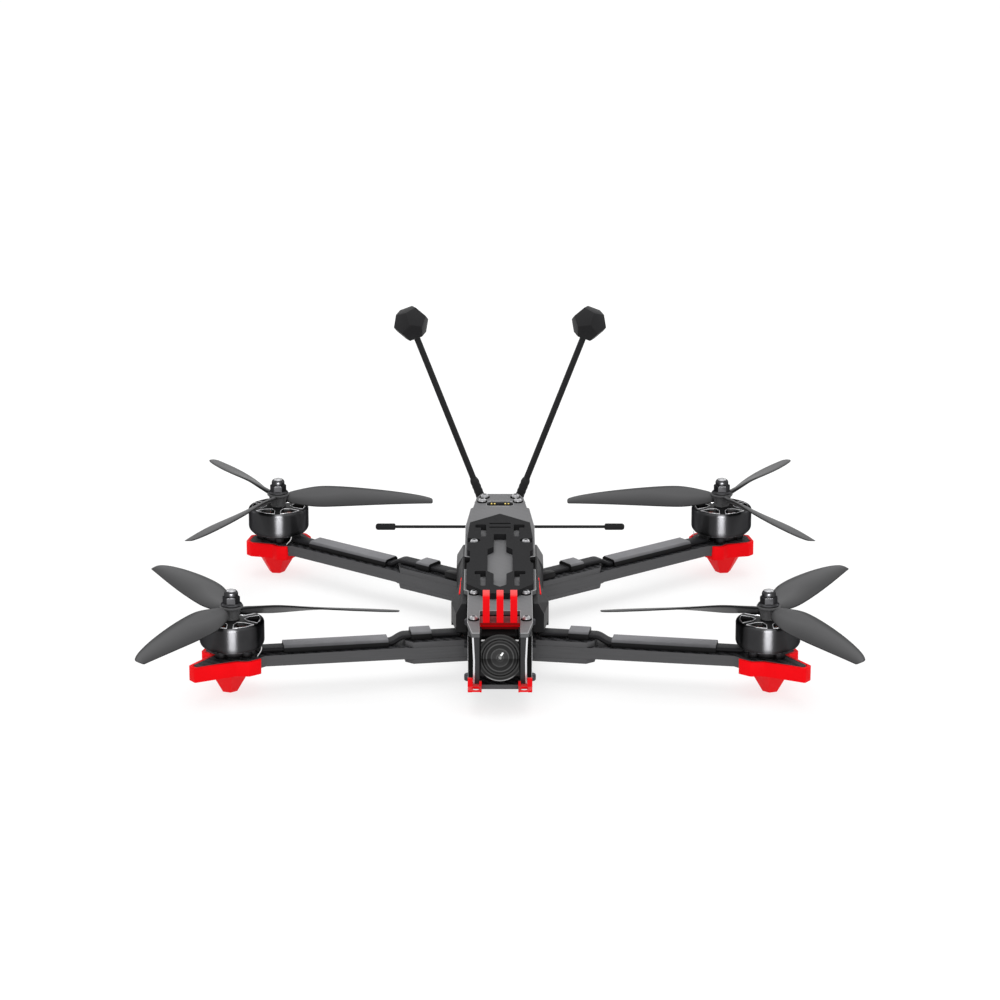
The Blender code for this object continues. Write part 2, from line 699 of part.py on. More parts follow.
def prop_mesh(hand):
    """Propeller whose blades lead towards +Y at +X when hand is 1."""
    middle = HUB_SEAT + HUB_HEIGHT / 2
    sections = []
    for shares in BLADE_SHARES:
        radius, lead, trail, thickness, lift = [share * PROP_RADIUS for share in shares]
        pitch = math.atan(PROP_PITCH / (math.tau * max(radius, PITCH_ROOT_RADIUS)))
        section = []
        for share_back, share_up in SECTION_SHARES:
            along, rise = lead - share_back * (lead - trail), share_up * thickness
            section.append((radius, hand * (along * math.cos(pitch) - rise * math.sin(pitch)),
                            middle + lift + along * math.sin(pitch) + rise * math.cos(pitch)))
        sections.append(section)
    hub = rod((0, 0, HUB_SEAT), (0, 0, HUB_SEAT + HUB_HEIGHT), PROP_BORE + HUB_WALL, HUB_SIDES)
    bore = rod((0, 0, HUB_SEAT - HUB_HEIGHT), (0, 0, HUB_SEAT + 2 * HUB_HEIGHT), PROP_BORE, BORE_SIDES)
    return cut(join(hub, spread(loft(sections), PROP_BLADES)), bore)


def nut_mesh():
    """Flanged hexagon nut with a domed end."""
    hex_bottom = NUT_SEAT + NUT_FLANGE_HEIGHT
    hex_top = hex_bottom + NUT_HEX_HEIGHT
    corner, lap = PROP_BORE + NUT_WALL, NUT_FLANGE_HEIGHT / 4
    flange = rod((0, 0, NUT_SEAT), (0, 0, hex_bottom), corner + NUT_FLANGE_WIDTH, HUB_SIDES,
                 corner + NUT_FLANGE_RISE)
    flats = rod((0, 0, hex_bottom - lap), (0, 0, hex_top), corner, 6)
    dome = rod((0, 0, hex_top - lap), (0, 0, NUT_TOP), corner - NUT_DOME_SHY, SMALL_SIDES,
               PROP_BORE + NUT_DOME_WALL)
    bore = rod((0, 0, NUT_SEAT - NUT_HEX_HEIGHT), (0, 0, NUT_TOP + NUT_HEX_HEIGHT), PROP_BORE, BORE_SIDES)
    return cut(join(flange, flats, dome), bore)


# Plates

def wing(motor_x, motor_y, wing_x, sweep, towards, front_x):
    """Right-hand wing over an arm root, from its front edge at the body round to its rear edge.

    towards is 1 where the arm runs back to the body, and -1 where it runs forward. front_x is the
    body's half width at the front edge.
    """
    along = Vector((-math.cos(sweep), towards * math.sin(sweep)))
    across = Vector((-along.y, along.x)) * -1
    motor, half = Vector((motor_x, motor_y)), ROOT_WIDTH / 2
    back = across if across.y > 0 else -across
    tip = motor + along * wing_reach(motor_x, wing_x, sweep)
    inner = [tip + along * WING_CHAMFER - back * half, tip - back * (half - WING_CHAMFER),
             tip + back * (half - WING_CHAMFER), tip + along * WING_CHAMFER + back * half]
    edges = []
    for corner, body_x in ((inner[0], front_x), (inner[3], BODY_HALF_WIDTH)):
        edges.append(corner + along * ((corner.x - body_x) / math.cos(sweep)))
    return [tuple(p) for p in (edges[0], *inner, edges[1])]


def wings(nose_x):
    front = wing(FRONT_MOTOR_X, -MOTOR_Y, FRONT_WING_X, FRONT_SWEEP, 1, nose_x)
    rear = wing(REAR_MOTOR_X, MOTOR_Y, REAR_WING_X, REAR_SWEEP, -1, BODY_HALF_WIDTH)
    return front + rear


def tail():
    return [(BODY_HALF_WIDTH, TAIL_TAPER_Y), (TAIL_HALF_WIDTH, TAIL_TAPER_Y + TAIL_TAPER_LENGTH),
            (TAIL_HALF_WIDTH, PLATE_TAIL_Y)]


def stack_points():
    half = STACK_PITCH / 2
    return [(x, STACK_Y + y) for x in (-half, half) for y in (-half, half)]


def bottom_plate_mesh():
    nose = [(BOTTOM_NOSE_HALF_WIDTH - BOTTOM_NOSE_CHAMFER, BOTTOM_NOSE_Y),
            (BOTTOM_NOSE_HALF_WIDTH, BOTTOM_NOSE_Y + BOTTOM_NOSE_CHAMFER)]
    holes = [circle(x, y, STACK_HOLE_RADIUS) for x, y in stack_points()]
    outline = symmetric(nose + wings(BOTTOM_NOSE_HALF_WIDTH) + tail())
    return prism([outline, *holes], LOWER_DECK - BOTTOM_PLATE_THICKNESS, LOWER_DECK)


def middle_plate_mesh():
    nose = [(MIDDLE_NOSE_HALF_WIDTH, MIDDLE_NOSE_Y)]
    holes = [circle(x, y, STACK_HOLE_RADIUS) for x, y in stack_points()]
    outline = symmetric(nose + wings(MIDDLE_NOSE_HALF_WIDTH) + tail())
    return prism([outline, *holes], MOTOR_SEAT, MOTOR_SEAT + MIDDLE_PLATE_THICKNESS)


def top_plate_mesh():
    step = PRONG_OUTER_X - TOP_HALF_WIDTH
    strap = STRAP_NOTCH_X - TOP_HALF_WIDTH
    half = [(PRONG_INNER_X, PRONG_ROOT_Y), (PRONG_INNER_X, TOP_NOSE_Y), (PRONG_TIP_X, TOP_NOSE_Y),
            (PRONG_OUTER_X, PRONG_TAPER_Y), (PRONG_OUTER_X, PRONG_SHOULDER_Y),
            (TOP_HALF_WIDTH, PRONG_SHOULDER_Y - step), (TOP_HALF_WIDTH, STRAP_NOTCH_FRONT_Y),
            (STRAP_NOTCH_X, STRAP_NOTCH_FRONT_Y - strap / 2), (STRAP_NOTCH_X, STRAP_NOTCH_REAR_Y + strap / 2),
            (TOP_HALF_WIDTH, STRAP_NOTCH_REAR_Y), (TOP_HALF_WIDTH, TOP_TAPER_Y),
            (TOP_TAIL_STEP_HALF_WIDTH, TOP_TAIL_STEP_Y),
            (TOP_TAIL_STEP_HALF_WIDTH - TOP_TAIL_STEP, TOP_TAIL_STEP_Y + TOP_TAIL_STEP),
            (TOP_TAIL_HALF_WIDTH, TOP_TAIL_CORNER_Y), (TOP_TAIL_EDGE_HALF_WIDTH, TOP_TAIL_Y)]
    wide, chamfer = TAIL_WINDOW_HALF_WIDTH, TAIL_WINDOW_CHAMFER
    window = [(wide - chamfer, TAIL_WINDOW_FRONT_Y), (wide, TAIL_WINDOW_FRONT_Y + chamfer),
              (wide, TAIL_WINDOW_REAR_Y - chamfer), (wide - chamfer, TAIL_WINDOW_REAR_Y)]
    return prism([symmetric(half), symmetric(window)], TOP_PLATE_BOTTOM, TOP_PLATE_TOP)


PAD_HOOK_INNER_X = PAD_WINDOW_WIDE + PAD_HOOK_RIB
PAD_HOOK_OUTER_X = PAD_HOOK_INNER_X + PAD_HOOK_SLOT
PAD_HOOK_TOE_X = PAD_HOOK_OUTER_X + PAD_HOOK_TOE


def hook(y_range, hand):
    """Hooked slot in the pad, with its toe at the rear."""
    front, rear = y_range
    toe = rear - PAD_HOOK_TOE_LENGTH
    points = [(PAD_HOOK_INNER_X, front), (PAD_HOOK_OUTER_X, front), (PAD_HOOK_OUTER_X, toe),
              (PAD_HOOK_TOE_X, toe), (PAD_HOOK_TOE_X, rear), (PAD_HOOK_INNER_X, rear)]
    return [(x * hand, y) for x, y in points]


def pad_mesh():
    notch = arc((PAD_SCREW_X, PAD_SCREW_Y), PAD_SCREW_NOTCH, 270, 90, 6)
    strap = PAD_HALF_WIDTH - STRAP_NOTCH_X
    half = [(PAD_FRONT_HALF_WIDTH, PAD_FRONT_Y), (PAD_HALF_WIDTH, PAD_FRONT_SHOULDER_Y),
            (PAD_HALF_WIDTH, STRAP_NOTCH_FRONT_Y),
            (STRAP_NOTCH_X, STRAP_NOTCH_FRONT_Y + strap), (STRAP_NOTCH_X, STRAP_NOTCH_REAR_Y - strap),
            (PAD_HALF_WIDTH, STRAP_NOTCH_REAR_Y), (PAD_HALF_WIDTH, PAD_SCREW_Y - PAD_SCREW_NOTCH), *notch,
            (PAD_HALF_WIDTH, PAD_SCREW_Y + PAD_SCREW_NOTCH), (PAD_REAR_HALF_WIDTH, PAD_REAR_SHOULDER_Y)]
    outline = symmetric(half)
    outline.insert(len(half), (0, PAD_REAR_Y))
    slope = PAD_WINDOW_SLOPE
    window = [(PAD_WINDOW_NARROW, PAD_WINDOW_FRONT_Y), (PAD_WINDOW_NARROW, PAD_WINDOW_WIDE_FRONT_Y - slope),
              (PAD_WINDOW_WIDE, PAD_WINDOW_WIDE_FRONT_Y), (PAD_WINDOW_WIDE, PAD_WINDOW_WIDE_REAR_Y),
              (PAD_WINDOW_NARROW, PAD_WINDOW_WIDE_REAR_Y + slope), (PAD_WINDOW_NARROW, PAD_WINDOW_REAR_Y)]
    window = symmetric(window)
    window.append((0, PAD_WINDOW_FRONT_Y - PAD_WINDOW_POINT))
    loops = [outline, window]
    for hand in (-1, 1):
        loops += [hook(PAD_REAR_HOOK_Y, hand), hook(PAD_FRONT_HOOK_Y, hand)]
    grip = PAD_HOOK_INNER_X - GRIP_SLOT_RIB
    for y in GRIP_SLOT_Y:
        loops.append(symmetric([(grip, y), (grip, y + GRIP_SLOT_LENGTH)]))
    return prism(loops, PAD_BOTTOM, PAD_BOTTOM + PAD_THICKNESS)


# Camera, in its own frame: the pivot is the origin and the lens looks along -Y before the tilt

CAMERA_PIVOT_Z = LOWER_DECK + CAMERA_PIVOT_LIFT
BEZEL_FRONT = -CAMERA_DEPTH - BEZEL_DEPTH
BEZEL_RADIUS = CAMERA_WIDTH / 2 + BEZEL_PROUD
CAGE_INNER_X = CAMERA_WIDTH / 2 + CAGE_CLEARANCE
CAGE_BOTTOM = LOWER_DECK + SEAT_GAP
CAGE_NOSE_Y = TOP_NOSE_Y + CAGE_NOSE_INSET
CAGE_TOE_Y = BOTTOM_NOSE_Y + CAGE_TOE_INSET
CAGE_KNEE = BAY_CEILING - CAGE_KNEE_DROP


def camera_body_mesh():
    half = CAMERA_WIDTH / 2
    face = -CAMERA_DEPTH - BEZEL_DEPTH / 2
    profile = [(face, CAMERA_RADIUS), (face, -CAMERA_RADIUS), *arc((0, 0), CAMERA_RADIUS, -90, 90, 10)]
    body = side_prism([profile], -half, half)
    side = math.degrees(math.acos((half - SEAT_GAP) / BEZEL_RADIUS))
    bezel = arc((0, 0), BEZEL_RADIUS, side, 180 - side, 10)
    bezel += arc((0, 0), BEZEL_RADIUS, 180 + side, 360 - side, 10)
    flange = face_prism([bezel], BEZEL_FRONT, -CAMERA_DEPTH)
    reach = half + TRUNNION_LENGTH
    pins = [rod((hand * half / 2, 0, 0), (hand * reach, 0, 0), TRUNNION_RADIUS, SMALL_SIDES)
            for hand in (-1, 1)]
    seat = rod((0, BEZEL_FRONT - BEZEL_DEPTH, 0), (0, BEZEL_FRONT + LENS_SEAT_DEPTH, 0),
               LENS_RADIUS + SEAT_GAP, BELL_SIDES)
    return cut(join(body, flange, *pins), seat)


def lens_mesh():
    seat = -BEZEL_FRONT - LENS_SEAT_DEPTH + SEAT_GAP
    lip = -BEZEL_FRONT + LENS_LIP
    profile = [(0, lip + LENS_DOME / 2), (LENS_GLASS_RADIUS / 2, lip + LENS_DOME / 3),
               (LENS_GLASS_RADIUS, lip - LENS_DOME / 3), (LENS_GLASS_RADIUS + LENS_RING_WIDTH, lip),
               (LENS_RADIUS, lip), (LENS_RADIUS, seat), (0, seat)]
    return moved(turned(profile, BELL_SIDES), Matrix.Rotation(math.radians(90), 4, "X"))


def cage_front(z):
    """Y of the camera plates' slanted front under the knee."""
    return CAGE_TOE_Y + (CAGE_NOSE_Y - CAGE_TOE_Y) * (z - CAGE_BOTTOM) / (CAGE_KNEE - CAGE_BOTTOM)


def cage_mesh():
    """Right-hand camera plate, chamfered along its front on the outer side."""
    rear = MIDDLE_NOSE_Y - CAGE_REAR_INSET
    front = [(CAGE_NOSE_Y, BAY_CEILING), (CAGE_NOSE_Y, CAGE_KNEE), (CAGE_TOE_Y, CAGE_BOTTOM)]
    back = [(rear, CAGE_BOTTOM), (rear - CAGE_REAR_LEAN, BAY_CEILING)]
    face = CAGE_INNER_X + CAGE_EDGE
    layers = ((CAGE_INNER_X, 0), (face, 0), (face + CAGE_CHAMFER, CAGE_CHAMFER))
    sections = [[(x, y + shift, z) for y, z in front] + [(x, y, z) for y, z in back] for x, shift in layers]
    hole = rod((0, CAMERA_PIVOT_Y, CAMERA_PIVOT_Z), (2 * face, CAMERA_PIVOT_Y, CAMERA_PIVOT_Z),
               TRUNNION_RADIUS + RUNNING_GAP, BORE_SIDES)
    return cut(loft(sections), hole)


def mount_mesh():
    """Action-camera mount: base in the notch, lug between the camera plates and three fingers."""
    low = TOP_PLATE_BOTTOM + MOUNT_LIFT
    top = low + MOUNT_BASE_HEIGHT
    back = MOUNT_FRONT_Y + FINGER_DEPTH
    half = PRONG_INNER_X - SEAT_GAP
    base = box((-half, half), (MOUNT_FRONT_Y, back), (low, top))
    lug_half = min(half, CAGE_INNER_X) - SEAT_GAP
    lug = box((-lug_half, lug_half), (back - MOUNT_LUG_OVERLAP, PRONG_ROOT_Y - MOUNT_LUG_GAP),
              (BAY_CEILING - MOUNT_LUG_DROP, low + MOUNT_BASE_HEIGHT / 2))
    finger_top = top + FINGER_HEIGHT
    outline = [(MOUNT_FRONT_Y, top - MOUNT_BASE_HEIGHT / 2), (back, top - MOUNT_BASE_HEIGHT / 2)]
    outline += arc((back - FINGER_ROUND, finger_top - FINGER_ROUND), FINGER_ROUND, 0, 90, 4)
    outline += arc((MOUNT_FRONT_Y + FINGER_ROUND, finger_top - FINGER_ROUND), FINGER_ROUND, 90, 180, 4)
    hole = circle(MOUNT_FRONT_Y + FINGER_DEPTH / 2, finger_top - FINGER_DEPTH / 2,
                  FINGER_HOLE_RADIUS, SMALL_SIDES)
    fingers = [side_prism([outline, hole], x - FINGER_THICKNESS / 2, x + FINGER_THICKNESS / 2)
               for x in (-FINGER_PITCH, 0, FINGER_PITCH)]
    return join(base, lug, *fingers)


def bumper_mesh():
    """Right-hand front bumper: holed tab before the bottom plate, lip under it and two fins."""
    rear = BOTTOM_NOSE_Y - SEAT_GAP
    front = rear - BUMPER_LENGTH
    low = LOWER_DECK - BOTTOM_PLATE_THICKNESS - SEAT_GAP - BUMPER_LIP_THICKNESS
    top = low + BUMPER_HEIGHT
    outline = [(BUMPER_INNER_X, front), (BUMPER_OUTER_X - BUMPER_CHAMFER, front),
               (BUMPER_OUTER_X, front + BUMPER_CHAMFER), (BUMPER_OUTER_X, rear), (BUMPER_INNER_X, rear)]
    nose = top - BUMPER_SLOPE
    heel = rear - BUMPER_HEEL
    profile = [(rear, low), (rear, top), (front, nose), (front, nose - BUMPER_TAB),
               (heel, top - 2 * BUMPER_TAB), (heel, low)]
    block = combine(side_prism([profile], BUMPER_INNER_X, BUMPER_OUTER_X),
                    prism([outline], low - BUMPER_HEIGHT, top + BUMPER_HEIGHT), "INTERSECT")
    lip = box((BUMPER_INNER_X, BUMPER_OUTER_X), (heel, rear + BUMPER_LIP_LENGTH),
              (low, low + BUMPER_LIP_THICKNESS))
    fins = []
    for inner, outer, height in ((BUMPER_OUTER_X - BUMPER_FIN_WIDTH, BUMPER_OUTER_X, BUMPER_FIN_HEIGHT),
                                 (BUMPER_INNER_X, BUMPER_INNER_X + BUMPER_STEP_WIDTH, BUMPER_STEP_HEIGHT)):
        fin_low, fin_top = top - BUMPER_HEIGHT / 2, top + height
        fin_rear = min(rear, cage_front(fin_low)) - SEAT_GAP
        tip_rear = cage_front(fin_top) - SEAT_GAP
        fins.append(side_prism([[(fin_rear - BUMPER_FIN_LENGTH, fin_low), (fin_rear, fin_low),
                                 (tip_rear, fin_top), (tip_rear - BUMPER_FIN_LENGTH / 2, fin_top)]],
                               inner, outer))
    hole_x, hole_y = (BUMPER_INNER_X + BUMPER_OUTER_X - BUMPER_CHAMFER) / 2, front + LANYARD_HOLE_SETBACK
    hole = rod((hole_x, hole_y, low - BUMPER_HEIGHT), (hole_x, hole_y, top + BUMPER_HEIGHT),
               LANYARD_HOLE_RADIUS, SMALL_SIDES)
    return cut(join(block, lip, *fins), hole)


def side_cover_mesh():
    """Right-hand side cover: faceted shell between the middle plate and the top plate."""
    wall = SIDE_COVER_WALL
    over_lead = BAY_FLOOR + LEAD_THICKNESS + SIDE_COVER_LEAD_ROOM
    shoulder = BAY_CEILING - SIDE_COVER_SHOULDER_DROP
    flange = PAD_SCREW_X + STANDOFF_RADIUS + SIDE_COVER_POST_GAP
    flare, block = SIDE_COVER_OUTER_X, SIDE_COVER_BLOCK_X
    front_lead = FRONT_ROOT_Y - block * math.tan(FRONT_SWEEP)
    rear_lead = REAR_ROOT_Y + block * math.tan(REAR_SWEEP)
    front, flare_y = front_lead - SIDE_COVER_FRONT_LAP, front_lead + SIDE_COVER_FLARE_LENGTH
    block_rear = rear_lead - SIDE_COVER_BLOCK_REAR
    stations = ((front, SIDE_COVER_FRONT_X, over_lead), (flare_y, flare, over_lead),
                (flare_y + wall, flare, BAY_FLOOR),
                (front_lead + SIDE_COVER_WAIST_START, SIDE_COVER_WAIST_X, BAY_FLOOR),
                (rear_lead - SIDE_COVER_WAIST_END, SIDE_COVER_WAIST_X, BAY_FLOOR),
                (rear_lead - SIDE_COVER_BLOCK_FRONT, block, BAY_FLOOR), (block_rear, block, BAY_FLOOR),
                (block_rear + wall, block, over_lead), (rear_lead - SIDE_COVER_REAR_LAP, block, over_lead))
    sections = []
    for y, outer, low in stations:
        sections.append([(outer, y, low), (outer, y, shoulder), (SIDE_COVER_SHOULDER_X, y, BAY_CEILING),
                         (flange, y, BAY_CEILING), (flange, y, BAY_CEILING - wall),
                         (SIDE_COVER_SHOULDER_X - wall / 2, y, BAY_CEILING - wall),
                         (outer - wall, y, shoulder - wall / 2), (outer - wall, y, low)])
    face = [(flange, BAY_CEILING), (flange, over_lead), (SIDE_COVER_FRONT_X, over_lead),
            (SIDE_COVER_FRONT_X, shoulder), (SIDE_COVER_SHOULDER_X, BAY_CEILING)]
    return join(loft(sections), face_prism([face], front - wall, front + wall / 2))


# Tail pieces

TAIL_BLOCK_FRONT_Y = TAIL_WINDOW_REAR_Y + TAIL_BLOCK_GAP
RECEIVER_ANTENNA_Y = TAIL_BLOCK_FRONT_Y + RECEIVER_ANTENNA_INSET
RECEIVER_ANTENNA_Z = BAY_FLOOR + RECEIVER_ANTENNA_RISE
MAST_Y = TOP_TAIL_Y + MAST_FOOT_RADIUS + MAST_PLATE_GAP
SOCKET_RADIUS = MAST_FOOT_RADIUS + SEAT_GAP + SOCKET_WALL


def mast_line(side):
    """Foot of a mast, in a socket that ends under the top plate, and the direction it leans in."""
    direction = Vector((side * math.sin(MAST_LEAN), 0, math.cos(MAST_LEAN)))
    at_plate = Vector((side * MAST_FOOT_X, MAST_Y, TOP_PLATE_BOTTOM))
    drop = (SEAT_GAP + SOCKET_TOP_GAP + SOCKET_RADIUS * math.sin(MAST_LEAN)) / math.cos(MAST_LEAN)
    return at_plate - direction * (SOCKET_LENGTH - SOCKET_WALL + drop), direction


def mast_mesh(side):
    foot = mast_line(side)[0]
    profile = [(0, MAST_LENGTH), (MAST_RADIUS, MAST_LENGTH), (MAST_RADIUS, MAST_FOOT_LENGTH),
               (MAST_FOOT_RADIUS, MAST_FOOT_LENGTH), (MAST_FOOT_RADIUS, 0), (0, 0)]
    lean = Matrix.Translation(foot) @ Matrix.Rotation(side * MAST_LEAN, 4, "Y")
    return moved(turned(profile, SMALL_SIDES), lean)


def cap_mesh(side):
    """Twelve-sided antenna cap on the mast's end."""
    foot, direction = mast_line(side)
    golden = (1 + math.sqrt(5)) / 2
    points = [Vector((x, y, z)) for x in (-1, 1) for y in (-1, 1) for z in (-1, 1)]
    for a in (-1, 1):
        for b in (-1, 1):
            short, long = a / golden, b * golden
            points += [Vector((0, short, long)), Vector((short, long, 0)), Vector((long, 0, short))]
    axis = Vector((0, golden, 1)).normalized()
    inradius = max(point.dot(axis) for point in points)
    turn = axis.rotation_difference(Vector((0, 0, 1))).to_matrix().to_4x4()
    scale = CAP_INRADIUS / inradius

    def hull(bm):
        for point in points:
            bm.verts.new(turn @ (point * scale))
        bmesh.ops.convex_hull(bm, input=bm.verts)
    centre = foot + direction * (MAST_LENGTH - CAP_SOCKET_DEPTH + SEAT_GAP + CAP_INRADIUS)
    body = moved(mesh_of(hull), Matrix.Translation(centre) @ Matrix.Rotation(side * MAST_LEAN, 4, "Y"))
    start = foot + direction * (MAST_LENGTH - 2 * CAP_SOCKET_DEPTH)
    socket = rod(start, foot + direction * (MAST_LENGTH + SEAT_GAP), MAST_RADIUS + SEAT_GAP, SMALL_SIDES)
    return cut(body, socket)


def tail_mount_mesh():
    """Block between the plates with two leaning sockets and the hole for the receiver antenna."""
    half = TAIL_BLOCK_HALF_WIDTH
    block = box((-half, half), (TAIL_BLOCK_FRONT_Y, MAST_Y - TAIL_BLOCK_SHY), (BAY_FLOOR, BAY_CEILING))
    for foot, direction in (mast_line(-1), mast_line(1)):
        start = foot - direction * (SOCKET_WALL + SEAT_GAP)
        end = foot + direction * (SOCKET_LENGTH - SOCKET_WALL)
        block = join(block, rod(start, end, SOCKET_RADIUS, BORE_SIDES))
    for foot, direction in (mast_line(-1), mast_line(1)):
        hole = rod(foot - direction * SEAT_GAP, foot + direction * 2 * SOCKET_LENGTH,
                   SOCKET_RADIUS - SOCKET_WALL, BORE_SIDES)
        block = cut(block, hole)
    start, end = [(reach, RECEIVER_ANTENNA_Y, RECEIVER_ANTENNA_Z) for reach in (-2 * half, 2 * half)]
    tunnel = rod(start, end, RECEIVER_WIRE_RADIUS + SEAT_GAP, SMALL_SIDES)
    return cut(block, tunnel)


def receiver_antenna_mesh():
    """Straight wire with a thick sleeve on each end."""
    half, thick = RECEIVER_HALF_SPAN, RECEIVER_HALF_SPAN - RECEIVER_END_LENGTH
    upper = [(0, half), (RECEIVER_END_RADIUS, half), (RECEIVER_END_RADIUS, thick),
             (RECEIVER_WIRE_RADIUS, thick)]
    profile = upper + [(radius, -height) for radius, height in reversed(upper)]
    place = Matrix.Translation((0, RECEIVER_ANTENNA_Y, RECEIVER_ANTENNA_Z))
    return moved(turned(profile, SMALL_SIDES), place @ Matrix.Rotation(math.radians(90), 4, "Y"))


# Electronics

VTX_REAR_Y = TAIL_WINDOW_FRONT_Y - VTX_WINDOW_GAP
VTX_FRONT_Y = VTX_REAR_Y - VTX_LENGTH
ESC_WIDTH = 2 * (SIDE_COVER_WAIST_X - SIDE_COVER_WALL - ESC_SIDE_GAP)
FC_WIDTH = ESC_WIDTH - 2 * FC_INSET


def board(width, length, low):
    half, corner = width / 2, BOARD_CORNER
    front, rear = STACK_Y - length / 2, STACK_Y + length / 2
    right = [(half - corner, front), (half, front + corner), (half, rear - corner), (half - corner, rear)]
    return prism([symmetric(right)], low, low + BOARD_THICKNESS)


def stack_board(width, length, seat, rise, block_height):
    """Board on four grommets, with its component block."""
    low = seat + rise
    lift = BOARD_THICKNESS / 2
    body = board(width, length, low)
    half = STACK_PITCH / 2 - GROMMET_RADIUS - BLOCK_GROMMET_GAP
    block = box((-half, half), (STACK_Y - length / 2 + BLOCK_INSET, STACK_Y + length / 2 - BLOCK_INSET),
                (low + lift, low + BOARD_THICKNESS + block_height))
    feet = [rod((x, y, seat), (x, y, low + lift), GROMMET_RADIUS, SMALL_SIDES) for x, y in stack_points()]
    return join(body, block, *feet)


def video_transmitter_mesh():
    """Transmitter box with the contact head under the top plate's tail window."""
    half = VTX_WIDTH / 2
    body = box((-half, half), (VTX_FRONT_Y, VTX_REAR_Y), (BAY_FLOOR, BAY_FLOOR + VTX_HEIGHT))
    wide = TAIL_WINDOW_HALF_WIDTH - CONTACT_HEAD_INSET
    head = box((-wide, wide), (TAIL_WINDOW_FRONT_Y, TAIL_WINDOW_REAR_Y - CONTACT_HEAD_INSET),
               (BAY_FLOOR, BAY_CEILING - CONTACT_HEAD_DROP))
    bridge = box((-wide, wide), (VTX_REAR_Y - VTX_HEIGHT / 2, TAIL_WINDOW_FRONT_Y + VTX_HEIGHT / 2),
                 (BAY_FLOOR, BAY_FLOOR + VTX_HEIGHT / 2))
    return join(body, bridge, head)


def capacitor_mesh():
    """Can that lies across the nose, between the front standoffs."""
    half = FRONT_STANDOFF_X - STANDOFF_RADIUS - CAPACITOR_END_GAP
    y, z = MIDDLE_NOSE_Y + CAPACITOR_NOSE_GAP + CAPACITOR_RADIUS, BAY_FLOOR + CAPACITOR_RADIUS
    return rod((-half, y, z), (half, y, z), CAPACITOR_RADIUS, BORE_SIDES)


def receiver_mesh():
    half, rear = RECEIVER_WIDTH / 2, VTX_FRONT_Y - RECEIVER_GAP
    return box((-half, half), (rear - RECEIVER_LENGTH, rear), (BAY_FLOOR, BAY_FLOOR + RECEIVER_HEIGHT))


